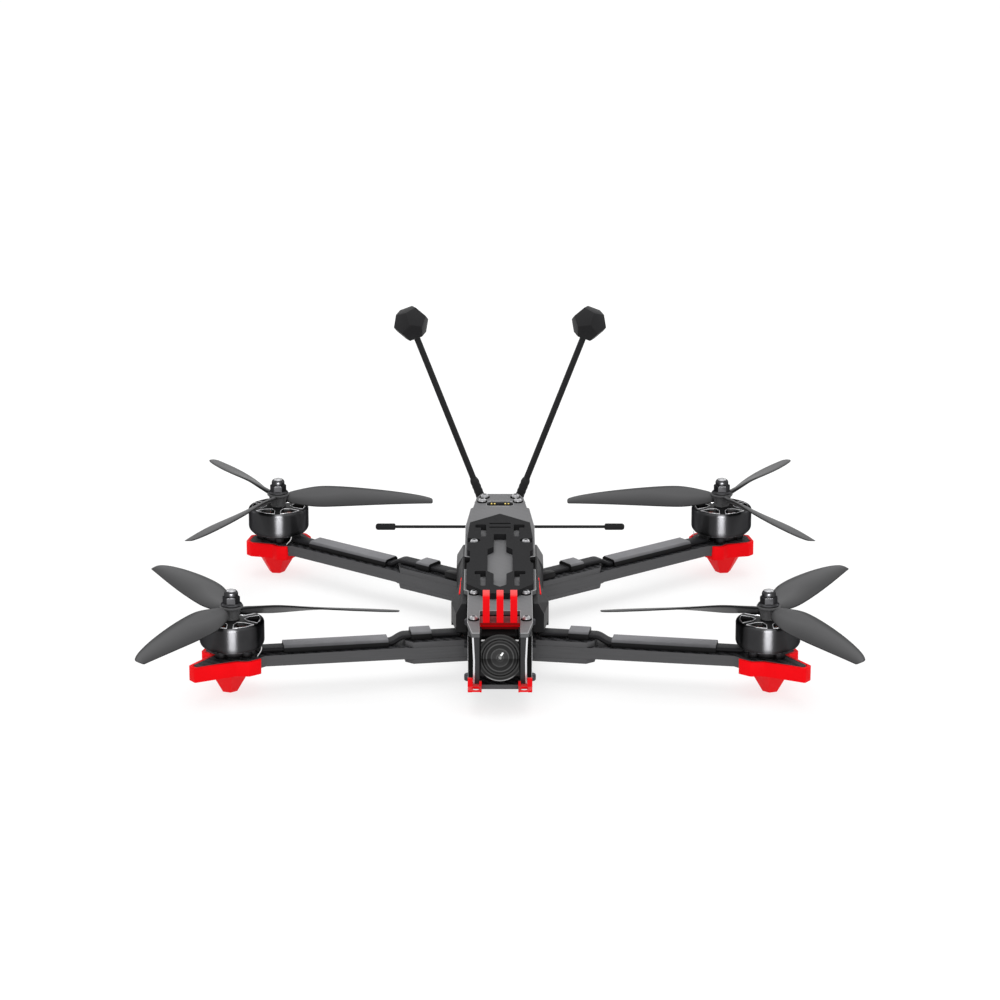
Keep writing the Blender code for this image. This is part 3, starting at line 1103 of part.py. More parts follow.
def build():
    for obj in list(bpy.data.objects):
        bpy.data.objects.remove(obj, do_unlink=True)
    bpy.context.scene.collection.children.link(PARTS)
    bpy.context.scene.collection.children.link(TOOLS)

    carbon = material("carbon", (0.060, 0.060, 0.062), 0.42)
    rubber = material("rubber", (0.022, 0.022, 0.023), 0.80)
    red = material("red_soft_plastic", (0.85, 0.012, 0.020), 0.50)
    black = material("black_plastic", (0.025, 0.025, 0.027), 0.45)
    dark_alloy = material("dark_alloy", (0.060, 0.060, 0.066), 0.32, 0.9)
    blade = material("propeller_plastic", (0.045, 0.045, 0.047), 0.30)
    steel = material("dark_steel", (0.10, 0.10, 0.11), 0.28, 1.0)
    copper = material("copper", (0.45, 0.20, 0.10), 0.40, 0.8)
    glass = material("lens_glass", (0.012, 0.012, 0.016), 0.08)
    circuit = material("circuit_board", (0.012, 0.012, 0.014), 0.50)

    piece("bottom_plate", bottom_plate_mesh(), carbon)
    piece("middle_plate", middle_plate_mesh(), carbon)
    piece("top_plate", top_plate_mesh(), carbon)
    piece("battery_pad", pad_mesh(), rubber)

    guards = {side: guard_mesh(side) for side in (-1, 1)}
    base, bell, nut = base_mesh(), bell_mesh(), nut_mesh()
    props = {hand: prop_mesh(hand) for hand in (-1, 1)}
    for end, y, motor_x, wing_x, sweep, turn in (
            ("front", -MOTOR_Y, FRONT_MOTOR_X, FRONT_WING_X, FRONT_SWEEP, 1),
            ("rear", MOTOR_Y, REAR_MOTOR_X, REAR_WING_X, REAR_SWEEP, -1)):
        reach, length = wing_reach(motor_x, wing_x, sweep), arm_length(motor_x, sweep)
        stator = stator_mesh(reach, (motor_x - LEAD_END_X) / math.cos(sweep))
        cover = cover_mesh(reach)
        blade_angle = -turn * BLADE_REST_ANGLE
        for flank, side in (("left", -1), ("right", 1)):
            place = f"{end}_{flank}"
            heading = turn * sweep if side < 0 else math.pi - turn * sweep
            lobe = side * turn
            frame = empty(f"arm_frame_{place}", (side * motor_x, y, 0), (0, 0, heading))
            arm = prism([arm_outline(length, reach, lobe)], ARM_BOTTOM, ARM_TOP)
            piece(f"arm_{place}", arm, carbon, frame)
            piece(f"motor_guard_{place}", guards[lobe], red, frame)
            piece(f"lead_cover_{place}", cover, black, frame)
            piece(f"motor_base_{place}", base, dark_alloy, frame)
            piece(f"motor_stator_{place}", stator, copper, frame)
            axis_angle = blade_angle if side < 0 else math.pi - blade_angle
            rotor = empty(f"rotor_axis_{place}", (side * motor_x, y, 0), (0, 0, axis_angle))
            piece(f"rotor_bell_{place}", bell, dark_alloy, rotor)
            piece(f"propeller_{place}", props[lobe], blade, rotor)
            piece(f"propeller_nut_{place}", nut, steel, rotor)

    tilt = empty("camera_axis", (0, CAMERA_PIVOT_Y, CAMERA_PIVOT_Z), (-CAMERA_TILT, 0, 0))
    piece("camera_body", camera_body_mesh(), black, tilt)
    piece("camera_lens", lens_mesh(), glass, tilt)
    piece("action_camera_mount", mount_mesh(), red)
    cage, bumper, side_cover = cage_mesh(), bumper_mesh(), side_cover_mesh()
    for flank, make in (("left", mirrored), ("right", lambda mesh: mesh)):
        piece(f"camera_plate_{flank}", make(cage), dark_alloy)
        piece(f"front_bumper_{flank}", make(bumper), red)
        piece(f"side_cover_{flank}", make(side_cover), black)

    piece("rear_antenna_mount", tail_mount_mesh(), black)
    for flank, side in (("left", -1), ("right", 1)):
        piece(f"antenna_mast_{flank}", mast_mesh(side), black)
        piece(f"antenna_cap_{flank}", cap_mesh(side), black)
    piece("receiver_antenna", receiver_antenna_mesh(), black)

    for end, x, y in (("front", FRONT_STANDOFF_X, FRONT_STANDOFF_Y), ("rear", PAD_SCREW_X, PAD_SCREW_Y)):
        for flank, side in (("left", -1), ("right", 1)):
            post = rod((side * x, y, BAY_FLOOR), (side * x, y, BAY_CEILING), STANDOFF_RADIUS, SMALL_SIDES)
            piece(f"standoff_{end}_{flank}", post, dark_alloy)

    fc_seat = BAY_FLOOR + ESC_RISE + BOARD_THICKNESS + SEAT_GAP
    speed_controller = stack_board(ESC_WIDTH, ESC_LENGTH, BAY_FLOOR, ESC_RISE, ESC_BLOCK_HEIGHT)
    piece("speed_controller", speed_controller, circuit)
    piece("flight_controller", stack_board(FC_WIDTH, FC_WIDTH, fc_seat, FC_RISE, FC_BLOCK_HEIGHT), circuit)
    piece("video_transmitter", video_transmitter_mesh(), dark_alloy)
    piece("power_capacitor", capacitor_mesh(), black)
    piece("radio_receiver", receiver_mesh(), circuit)


build()
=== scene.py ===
"""Seven-inch long-range quadcopter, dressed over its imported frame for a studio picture.

Metres, +Z up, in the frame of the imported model. The nose points to -Y.
"""
import json
import math
from functools import partial

import bmesh
import bpy
from mathutils import Matrix, Quaternion, Vector

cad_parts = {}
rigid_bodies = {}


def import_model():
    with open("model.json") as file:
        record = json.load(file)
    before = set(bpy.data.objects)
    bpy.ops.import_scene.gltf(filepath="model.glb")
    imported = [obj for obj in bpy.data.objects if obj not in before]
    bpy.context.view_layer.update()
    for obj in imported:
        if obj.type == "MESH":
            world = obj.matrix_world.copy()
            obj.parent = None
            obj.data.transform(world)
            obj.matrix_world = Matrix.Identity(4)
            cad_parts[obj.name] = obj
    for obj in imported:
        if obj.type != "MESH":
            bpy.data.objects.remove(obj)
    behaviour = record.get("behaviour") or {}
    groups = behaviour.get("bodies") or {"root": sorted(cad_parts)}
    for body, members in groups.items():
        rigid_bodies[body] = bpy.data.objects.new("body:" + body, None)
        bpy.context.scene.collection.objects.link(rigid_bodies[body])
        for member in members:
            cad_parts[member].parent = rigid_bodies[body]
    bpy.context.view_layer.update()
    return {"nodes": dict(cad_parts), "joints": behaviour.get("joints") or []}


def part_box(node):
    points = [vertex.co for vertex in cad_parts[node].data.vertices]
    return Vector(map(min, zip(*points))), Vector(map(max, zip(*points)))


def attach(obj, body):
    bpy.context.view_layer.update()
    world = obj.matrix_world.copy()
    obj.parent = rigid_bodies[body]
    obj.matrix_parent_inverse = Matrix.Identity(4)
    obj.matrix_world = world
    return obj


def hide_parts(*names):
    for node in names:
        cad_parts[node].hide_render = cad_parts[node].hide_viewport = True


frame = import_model()
scene = bpy.context.scene

WELD = 0.000002
HAIR = 0.00002
QUARTER = math.radians(90)
SOFT_EDGE = 0.0003
CRISP_EDGE = 0.0002

# Layout that the frame gives
ENDS = {"front": 1, "rear": -1}
FLANKS = {"left": -1, "right": 1}
PLACES = [f"{end}_{flank}" for end in ENDS for flank in FLANKS]
JOINTS = {joint["name"]: Vector(joint["pos_m"]) for joint in frame["joints"]}
ARM_ROOT_Y = {"front": -0.0752, "rear": 0.0017}
WING_END_X = {"front": 0.0512, "rear": 0.0541}
BLADE_REST_ANGLE = math.radians(0.4)

LOWER_PLATE_BOTTOM, ARM_SEAT = (corner.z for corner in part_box("bottom_plate"))
ARM_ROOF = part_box("middle_plate")[0].z
ARM_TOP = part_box("arm_front_left")[1].z
MOTOR_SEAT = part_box("motor_base_front_left")[0].z
BAY_FLOOR, CONTACT_SEAT = (corner.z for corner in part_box("video_transmitter"))
BAY_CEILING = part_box("standoff_front_left")[1].z
TOP_PLATE_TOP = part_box("top_plate")[1].z
CAGE_INNER_X, CAGE_OUTER_X = (corner.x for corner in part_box("camera_plate_right"))

# Plates, pad and arms
PLATE_EDGE = 0.00004
PLATE_CHAMFER = 0.00025
STRAP_NOTCH_X = 0.016
STRAP_NOTCH_Y = (-0.016, -0.010)
PAD_CORNER = 0.0005
ARM_EDGE = 0.00005
TIP_ROUND = 0.0011
ROOT_LENGTH = 0.004

# Motors
BELL_LOW, BELL_SHAFT_TOP = (corner.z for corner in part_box("rotor_bell_front_left"))
BELL_TOP = 0.0400
BELL_FOOT = 0.0252
BELL_RADIUS = 0.01725
BELL_WALL = 0.0021
BELL_CROWN = 0.0018
BELL_HUB_RADIUS = 0.0062
BELL_SHOULDER = 0.0015
BELL_SKIRT = 0.0036
BELL_WINDOWS = 6
WINDOW_NEAR, WINDOW_FAR = 0.0068, 0.0152
WINDOW_SWING = math.radians(23)
WINDOW_LINE = 0.00030
MAGNETS = 14
MAGNET_SHARE = 0.42
MAGNET_THICKNESS = 0.0011
SHAFT_RADIUS = 0.0025
STATOR_BOTTOM, STATOR_TOP = 0.0255, 0.0340
STATOR_RADIUS = 0.0141
STATOR_YOKE_RADIUS = 0.0083
STATOR_BORE = 0.0053
STATOR_TEETH = 12
COIL_OVERHANG = 0.0012
COIL_END = 0.0124
COIL_HALF = 0.0021

# One side of a stator tooth: distance from the axis, and degrees from the tooth's middle
TOOTH_SIDE = ((STATOR_YOKE_RADIUS, 7), (0.0126, 4), (0.0130, 12.2), (STATOR_RADIUS, 12.2), (STATOR_RADIUS, 4))

# Propellers. Blade stations as shares of the radius: distance from the axis, leading edge, trailing edge,
# thickness, lift
PROP_RADIUS = 0.0889
PROP_PITCH = 0.1040
PITCH_ROOT_RADIUS = 0.0255
PROP_BORE = 0.0028
HUB_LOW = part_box("propeller_front_left")[0].z
HUB_HEIGHT = 0.0074
HUB_RADIUS = 0.0063
HUB_TUBE_RADIUS = 0.0039
HUB_WEBS, HUB_WEB_HALF = 6, 0.00055
BLADES = 3
BLADE_SHARES = ((0.050, 0.040, -0.0385, 0.0380, 0.0135), (0.10, 0.058, -0.056, 0.0345, 0.0146),
                (0.18, 0.082, -0.077, 0.0285, 0.0157), (0.25, 0.092, -0.092, 0.0250, 0.0191),
                (0.32, 0.096, -0.101, 0.0225, 0.0225), (0.47, 0.098, -0.1085, 0.0191, 0.0225),
                (0.64, 0.087, -0.1045, 0.0157, 0.0191), (0.80, 0.066, -0.0922, 0.0135, 0.0135),
                (0.93, 0.037, -0.0776, 0.0112, 0.0067), (0.985, 0.010, -0.071, 0.0095, 0.0034),
                (1.00, -0.004, -0.0686, 0.0090, 0.0022))
# Blade section: share of the chord behind the leading edge, share of the thickness above the chord
SECTION_SHARES = ((0, -0.20), (0.07, 0.20), (0.30, 0.50), (0.62, 0.40), (0.90, 0.02), (1, -0.25),
                  (0.90, -0.38), (0.62, -0.40), (0.30, -0.45), (0.07, -0.42))
NUT_LOW, NUT_TOP = (corner.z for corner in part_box("propeller_nut_front_left"))
NUT_CORNER, NUT_FLANGE = 0.0047, 0.0057

# Flat motor leads and what holds them on the arms
LEAD_WIDTH = 0.0084
LEAD_THICKNESS = 0.0026
LEAD_START = 0.0125
LEAD_RAMP = 0.0076
LEAD_END_X = 0.0220
CLIP_GAP = 0.0032
CLIP_LENGTH = 0.0110
CLIP_WIDTH = 0.0114
CLIP_HEIGHT = 0.0043
CLIP_SHOULDER = 0.0012
REAR_CLIP_SHIFT, REAR_CLIP_SHARE = 0.0095, 0.85
SHROUD_FAR, SHROUD_NEAR = 0.0332, 0.0246
SHROUD_SIDES = (0.0024, 0.0076)
SHROUD_HEIGHT = 0.0036
WIRE_RADIUS = 0.00024

# Screws: spots on one side of the middle, as x and y
FRONT_POST, REAR_POST = (0.0138, -0.0770), (0.0143, 0.0040)
NOSE_SCREW, TAIL_SCREW, WINDOW_SCREW = (0.0138, -0.1185), (0.0088, 0.0932), (0.0102, 0.0850)
STACK_SCREWS = ((0.01525, -0.04325), (0.01525, -0.01275))
WING_SCREWS = (0.010, 0.026)
WASHER_RADIUS, WASHER_HEIGHT = 0.0029, 0.0006
COLLAR_HEIGHT = 0.0022

# Camera and its cage
CAMERA_TILT = math.radians(17.5)
CAMERA_FACE = 0.0111
LENS_RADIUS = 0.0092
LENS_DEPTH = 0.0040
# Painted highlights on the lens, as pale rings: radius, added light. Ridges round the glass: radius, rise
LENS_PAINTED_RINGS = ((0.0018, 0.035), (0.0046, 0.070), (0.0071, 0.075), (0.0087, 0.035), (0.0101, 0.045),
              (0.0119, 0.030))
LENS_RIDGES = ((0.0071, 0.00085), (0.0087, 0.00080))
GLASS_RADIUS, GLASS_RISE, GLASS_TOP = 0.0046, 0.0010, 0.0017
LIGHT_BAR = ((0.0079, 0.0086, 0.0091), (0.0098, 0.0094, 0.0096))
CAGE_EDGE_X = CAGE_INNER_X + 0.0026
CAGE_FRONT_Y = -0.120
CAGE_CHAMFERS = ((CAGE_EDGE_X, 0.00052), (CAGE_OUTER_X, 0.00030))
BUMPER_LENGTH = 0.0078
BUMPER_EYE_REACH, BUMPER_EYE_GROWTH = 0.0020, 1.17
MOUNT_LEDGE = TOP_PLATE_TOP + 0.0015
MOUNT_SILL = 0.0013

# Side covers
COVER_STEP_Y = -0.0055
LINER_PATH = ((0.0208, -0.0390), (0.0217, -0.0655))
LINER_RADIUS = 0.00048
STRAP_SLOT = ((0.0168, -0.0280), (0.0194, -0.0265), (0.0194, -0.0070), (0.0168, -0.0055))

# Antennas
MAST_LEAN = math.radians(20.9)
MAST_LENGTH = 0.1172
MAST_FOOT_LENGTH = 0.0210
MAST_FOOT_RADIUS = 0.0026
MAST_RADIUS = 0.0018
MAST_RIBS = 15
RIB_DEPTH = 0.0002
RECEIVER_WIRE_RADIUS = 0.00085
RECEIVER_END_LENGTH = 0.0114

# Boards, posts and contacts in the bay
SPEED_BOARD_TOP = 0.0292
FLIGHT_BOARD_TOP = 0.0353
STACK_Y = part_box("flight_controller")[0].y + 0.018
PART_EDGE = 0.00015
POST_END, POST_GROOVE = 0.0030, 0.0004
CONTACT_HEAD = ((0.0062, 0.0785), (0.0078, 0.0800), (0.0078, 0.0825), (0.0062, 0.0840))
CONTACT_CHAMFER = 0.00035
CONTACT_Y, CONTACT_X = 0.0812, (-0.0048, -0.0030, 0.0030, 0.0048)


# Shapes. Each helper gives back a bmesh that the next one takes up.

def linked(name, data):
    """New object in the scene."""
    obj = bpy.data.objects.new(name, data)
    scene.collection.objects.link(obj)
    return obj


def mesh_of(shape):
    """Mesh of a bmesh, which is used up."""
    mesh = bpy.data.meshes.new("shape")
    shape.to_mesh(mesh)
    shape.free()
    return mesh


def outward(shape):
    """Shape with its faces turned outwards."""
    bmesh.ops.recalc_face_normals(shape, faces=shape.faces)
    return shape


def worked(obj):
    """Bmesh of an object as Blender works it out. The object is used up."""
    graph = bpy.context.evaluated_depsgraph_get()
    mesh = bpy.data.meshes.new_from_object(obj.evaluated_get(graph))
    shape = bmesh.new()
    shape.from_mesh(mesh)
    bmesh.ops.remove_doubles(shape, verts=shape.verts, dist=WELD)
    bpy.data.objects.remove(obj)
    bpy.data.meshes.remove(mesh)
    return shape


def modified(shape, kind, **settings):
    """Shape as a modifier leaves it."""
    obj = linked("work", mesh_of(outward(shape)))
    modifier = obj.modifiers.new("work", kind)
    for name, value in settings.items():
        setattr(modifier, name, value)
    return worked(obj)


def combined(operation, shape, *others):
    """Boolean of a closed shape with others, one after the other."""
    for other in others:
        tool = linked("tool", mesh_of(outward(other)))
        shape = modified(shape, "BOOLEAN", operation=operation, object=tool)
        bpy.data.objects.remove(tool)
    return shape


fused = partial(combined, "UNION")
cut = partial(combined, "DIFFERENCE")


def together(*shapes):
    """One bmesh that holds several."""
    whole = bmesh.new()
    for shape in shapes:
        mesh = mesh_of(shape)
        whole.from_mesh(mesh)
        bpy.data.meshes.remove(mesh)
    return whole


def rolled(axis, angle):
    """Turn about an axis through the origin."""
    return Matrix.Rotation(angle, 4, axis)


def placed(shape, *matrices):
    """Shape moved by a matrix, or one copy of it for each of several matrices."""
    if len(matrices) == 1:
        bmesh.ops.transform(shape, matrix=matrices[0], verts=shape.verts)
        return shape
    copies = [placed(shape.copy(), matrix) for matrix in matrices]
    shape.free()
    return together(*copies)


def spots(shape, *points):
    """Copy of a shape at each of some points."""
    return placed(shape, *[Matrix.Translation(point) for point in points])


def ring_of(shape, count, start=0.0):
    """Copies of a shape turned evenly about Z."""
    return placed(shape, *[rolled("Z", start + i * math.tau / count) for i in range(count)])


def painted(shape, index, where=None):
    """Shape with one of its piece's finishes on all its faces, or on those that where says yes to."""
    for face in filter(where, shape.faces) if where else shape.faces:
        face.material_index = index
    return shape


def verts_in(parts):
    """The vertices among what an operator made."""
    return [part for part in parts if isinstance(part, bmesh.types.BMVert)]


def faces_in(parts):
    """The faces among what an operator made."""
    return [part for part in parts if isinstance(part, bmesh.types.BMFace)]


def turned(profile, steps, closed=False, base=0.0):
    """(radius, height above the base) profile turned about Z."""
    shape = bmesh.new()
    points = [shape.verts.new((radius, 0, base + height)) for radius, height in profile]
    pairs = zip(points, points[1:] + points[:1] if closed else points[1:])
    edges = [shape.edges.new(pair) for pair in pairs]
    bmesh.ops.spin(shape, geom=points + edges, cent=(0, 0, 0), axis=(0, 0, 1), angle=math.tau, steps=steps,
                   use_merge=True)
    bmesh.ops.remove_doubles(shape, verts=shape.verts, dist=WELD)
    return outward(shape)


def bar(radius, height, steps):
    """Round bar that stands on the ground, to cut a bore."""
    return turned([(0, 0), (radius, 0), (radius, height), (0, height)], steps)


def prism(outline, low, high):
    """(x, y) outline raised from low to high."""
    shape = bmesh.new()
    face = shape.faces.new([shape.verts.new((x, y, low)) for x, y in outline])
    raised = bmesh.ops.extrude_face_region(shape, geom=[face], use_keep_orig=True)["geom"]
    bmesh.ops.translate(shape, vec=(0, 0, high - low), verts=verts_in(raised))
    return outward(shape)


def block(low, high):
    """Box between two corners."""
    low, high = Vector(low), Vector(high)
    size = Matrix.Diagonal((*(high - low), 1))
    shape = bmesh.new()
    bmesh.ops.create_cube(shape, size=1, matrix=Matrix.Translation((low + high) / 2) @ size)
    return shape


def skinned(sections):
    """Closed skin over rings of points."""
    shape = bmesh.new()
    rings = []
    for section in sections:
        points = [shape.verts.new(point) for point in section]
        rings.append([shape.edges.new(pair) for pair in zip(points, points[1:] + points[:1])])
    for ring, following in zip(rings, rings[1:]):
        bmesh.ops.bridge_loops(shape, edges=ring + following)
    bmesh.ops.holes_fill(shape, edges=rings[0] + rings[-1], sides=0)
    return outward(shape)


def drawn(path, radius, half_width=0.0, order=3):
    """Round bar along a path, or a flat one with round edges that lies across the path's plane."""
    curve = bpy.data.curves.new("path", "CURVE")
    curve.dimensions = "3D"
    curve.twist_mode = "Z_UP"
    curve.bevel_depth = radius
    curve.bevel_resolution = 3
    curve.extrude = max(half_width - radius, 0)
    curve.use_fill_caps = True
    spline = curve.splines.new("NURBS")
    spline.points.add(len(path) - 1)
    for point, place in zip(spline.points, path):
        point.co = (*place, 1)
    spline.order_u = order
    spline.use_endpoint_u = True
    spline.resolution_u = 6
    shape = worked(linked("work", curve))
    bpy.data.curves.remove(curve)
    return shape


def sharp_edges(shape, degrees=30):
    return [edge for edge in shape.edges
            if len(edge.link_faces) == 2 and edge.calc_face_angle(0) > math.radians(degrees)]


def upright_edges(shape):
    """Sharp edges that run along Z."""
    return [edge for edge in sharp_edges(shape)
            if abs((edge.verts[0].co - edge.verts[1].co).normalized().z) > 0.99]


def lowest(edge):
    return min(vert.co.z for vert in edge.verts)


def span(edge, axis):
    """How far an edge runs along an axis."""
    return abs(edge.verts[0].co[axis] - edge.verts[1].co[axis])


def bevelled(shape, edges, width, segments):
    """Bevel some edges of a shape, and give back the new faces."""
    return bmesh.ops.bevel(shape, geom=edges, offset=width, offset_type="OFFSET", segments=segments,
                           profile=0.5, affect="EDGES", clamp_overlap=True, material=-1)["faces"]


def eased(shape, width, segments=2, edges=None):
    """Shape with its sharp edges, or the given ones, rounded."""
    bevelled(shape, sharp_edges(shape) if edges is None else edges, width, segments)
    return shape


def chamfered(shape, edges, width, index):
    """Shape with a flat chamfer of its own finish on the given edges."""
    for face in bevelled(shape, edges, width, 1):
        face.material_index = index
    return shape


def copy_of(node):
    """Welded copy of a CAD node, with its flat faces made whole."""
    shape = bmesh.new()
    shape.from_mesh(frame["nodes"][node].data)
    bmesh.ops.remove_doubles(shape, verts=shape.verts, dist=WELD)
    bmesh.ops.dissolve_limit(shape, angle_limit=math.radians(1), verts=shape.verts, edges=shape.edges)
    return shape


def lay_plan(shape, turn=Matrix.Identity(4)):
    """Shape with a plan map, along the piece's own length, that a weave or rings follow."""
    layer = shape.loops.layers.uv.new("plan")
    back = turn.inverted()
    for face in shape.faces:
        for loop in face.loops:
            loop[layer].uv = (back @ loop.vert.co).xy
    return shape


def show(name, shape, looks, slot, *nodes, body="root", smooth=35):
    """Make a shape a piece that rides on a body and stands for CAD nodes."""
    mesh = mesh_of(outward(shape))
    mesh.name = name
    if "custom_normal" in mesh.attributes:
        mesh.attributes.remove(mesh.attributes["custom_normal"])
    for look in looks if isinstance(looks, (list, tuple)) else [looks]:
        mesh.materials.append(look)
    mesh.shade_smooth()
    mesh.set_sharp_from_angle(angle=math.radians(smooth))
    piece = linked(name, mesh)
    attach(piece, body)
    if nodes:
        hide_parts(*nodes)


def stand_for(node, ending, shape, looks, slot, **how):
    """Make a shape the one piece that stands for a CAD node, and name it after the node."""
    show(f"{node}_{ending}", shape, looks, slot, node, **how)


# Node wiring

class Wiring:
    """Short ways to add nodes to a tree. A value is a number, a colour or another node's socket."""

    def __init__(self, tree):
        self.tree = tree

    def feed(self, sockets, values):
        for socket, value in zip(sockets, values):
            if isinstance(value, bpy.types.NodeSocket):
                self.tree.links.new(value, socket)
            else:
                socket.default_value = value

    def fill(self, node, values):
        """Feed a node's inputs by name, with _ for a space."""
        self.feed([node.inputs[name.replace("_", " ")] for name in values], values.values())

    def new(self, kind, settings=None):
        node = self.tree.nodes.new(f"ShaderNode{kind}")
        for name, value in (settings or {}).items():
            setattr(node, name, value)
        return node

    def add(self, kind, settings=None, **inputs):
        """Outputs of a new node."""
        node = self.new(kind, settings)
        self.fill(node, inputs)
        return node.outputs

    def use(self, group, **inputs):
        """Outputs of a shared group that is placed here."""
        return self.add("Group", {"node_tree": group}, **inputs)

    def sums(self, operation, *values):
        """Math node on some values."""
        node = self.new("Math", {"operation": operation})
        self.feed(node.inputs, values)
        return node.outputs[0]

    def times(self, first, second):
        return self.sums("MULTIPLY", first, second)

    def line(self, value, slope, start):
        """The start, and slope times the value on top."""
        return self.sums("MULTIPLY_ADD", value, slope, start)

    def mix(self, factor, first, second, kind="RGBA"):
        """Mix of two colours or two numbers."""
        node = self.new("Mix", {"data_type": kind})
        self.feed([socket for socket in node.inputs if socket.enabled], (factor, first, second))
        return next(socket for socket in node.outputs if socket.enabled)

    def soft(self, value, start, end):
        """Smooth step from 0 at start to 1 at end."""
        return self.add("MapRange", {"interpolation_type": "SMOOTHSTEP"}, Value=value, From_Min=start,
                        From_Max=end)[0]

    def split(self, vector):
        return self.add("SeparateXYZ", Vector=vector)

    def seen(self):
        """1 for rays that show the surface, straight or in a mirror or glass, and 0 for rays that light."""
        rays = self.add("LightPath")
        return self.sums("MAXIMUM", rays["Is Camera Ray"],
                         self.sums("MAXIMUM", rays["Is Glossy Ray"], rays["Is Transmission Ray"]))


def new_group(name, measure, *outputs):
    """Wiring of a shader group that takes a place and one measure, and the group's two ends."""
    tree = bpy.data.node_groups.new(name, "ShaderNodeTree")
    for label, kind in (("Vector", "Vector"), (measure, "Float")):
        tree.interface.new_socket(label, in_out="INPUT", socket_type=f"NodeSocket{kind}")
    for label in outputs:
        tree.interface.new_socket(label, in_out="OUTPUT", socket_type="NodeSocketFloat")
    return Wiring(tree), tree.nodes.new("NodeGroupInput").outputs, tree.nodes.new("NodeGroupOutput")


def twill_group():
    """Two-over-two weave in X and Y: which thread is on top, and how high it stands."""
    group, given, result = new_group("twill weave", "Thread", "Over", "Height")
    threads = group.sums("DIVIDE", 1, given["Thread"])
    scaled = group.add("VectorMath", {"operation": "SCALE"}, Vector=given["Vector"], Scale=threads)[0]
    ways = group.split(scaled)[:2]
    cells = group.sums("ADD", *[group.sums("FLOOR", way) for way in ways])
    over = group.sums("LESS_THAN", group.sums("FLOORED_MODULO", cells, 4), 1.5)
    rounds = [group.sums("SINE", group.times(group.sums("FRACT", way), math.pi)) for way in ways]
    group.fill(result, {"Over": over, "Height": group.mix(over, *rounds, "FLOAT")})
    return group.tree


def grain_group():
    """Moulding grain: fine specks and slow unevenness, both around one half."""
    group, given, result = new_group("moulding grain", "Size", "Specks", "Patches")
    pitch = group.sums("DIVIDE", 1, given["Size"])
    slow = group.sums("DIVIDE", pitch, 24)
    specks = group.add("TexNoise", Vector=given["Vector"], Scale=pitch, Detail=2.0, Roughness=0.6)[0]
    patches = group.add("TexNoise", Vector=given["Vector"], Scale=slow, Detail=3.0)[0]
    group.fill(result, {"Specks": specks, "Patches": patches})
    return group.tree


def layer_group():
    """Layers stacked along Z, slightly uneven along their length."""
    group, given, result = new_group("stacked layers", "Pitch", "Ridge", "Tone")
    wander = group.add("TexNoise", Vector=given["Vector"], Scale=180.0, Detail=2.0)[0]
    rise = group.split(given["Vector"])[2]
    turns = group.line(wander, 0.5, group.sums("DIVIDE", rise, given["Pitch"]))
    wave = group.sums("SINE", group.times(turns, math.tau))
    stretched = group.add("Mapping", Vector=given["Vector"], Scale=(60, 60, 1400))[0]
    tone = group.add("TexNoise", Vector=stretched, Scale=1.0, Detail=1.0)[0]
    group.fill(result, {"Ridge": group.line(wave, 0.5, 0.5), "Tone": tone})
    return group.tree


TWILL, GRAIN, LAYERS = twill_group(), grain_group(), layer_group()


# Finishes

THREAD = 0.0016
PLY = 0.00042
PRINT_LAYER = 0.0006
TOOL_MARK = 0.00018
UNEVEN = 0.08


class Finish(Wiring):
    """New material: its wiring, its Principled shader and its Object coordinates."""

    def __init__(self, name, colour, roughness, metallic=0.0, gloss=0.5, **values):
        self.material = bpy.data.materials.new(name)
        self.material.use_nodes = True
        super().__init__(self.material.node_tree)
        self.shader = self.tree.nodes["Principled BSDF"]
        self.set(Base_Color=(*colour, 1), Roughness=roughness, Metallic=metallic, Specular_IOR_Level=gloss,
                 **values)
        self.place = self.add("TexCoord")["Object"]

    def set(self, **values):
        self.fill(self.shader, values)

    def bump(self, height, distance):
        self.set(Normal=self.add("Bump", Height=height, Distance=distance, Strength=1.0)["Normal"])

    def facing(self):
        """1 on faces that look up, 0 on upright ones, -1 on faces that look down."""
        return self.split(self.add("NewGeometry")["Normal"])[2]

    def map(self, name):
        return self.add("UVMap", {"uv_map": name})[0]


def shades(colour, spread):
    """A darker and a lighter tone of a colour."""
    return [tuple(min(value * factor, 1) for value in colour) + (1,) for factor in (1 - spread, 1 + spread)]


def moulded(name, colour, roughness, grain=0.0003, depth=0.00002, spread=0.2, top=1.0, **values):
    """Moulded or coated surface with a grain and unevenness; faces that look up get a painted highlight that
    makes them top times as light.
    """
    look = Finish(name, colour, roughness, **values)
    marks = look.use(GRAIN, Vector=look.place, Size=grain)
    tone = look.mix(marks["Patches"], *shades(colour, spread))
    # Painted highlight: faces that look up are made top times as light, for the light that falls on them
    if top != 1.0:
        upper = look.mix(marks["Patches"], *shades([value * top for value in colour], spread))
        tone = look.mix(look.soft(look.facing(), 0.35, 0.9), tone, upper)
    look.set(Base_Color=tone, Roughness=look.line(marks["Patches"], 2 * UNEVEN, roughness - UNEVEN))
    look.bump(marks["Specks"], depth)
    return look.material


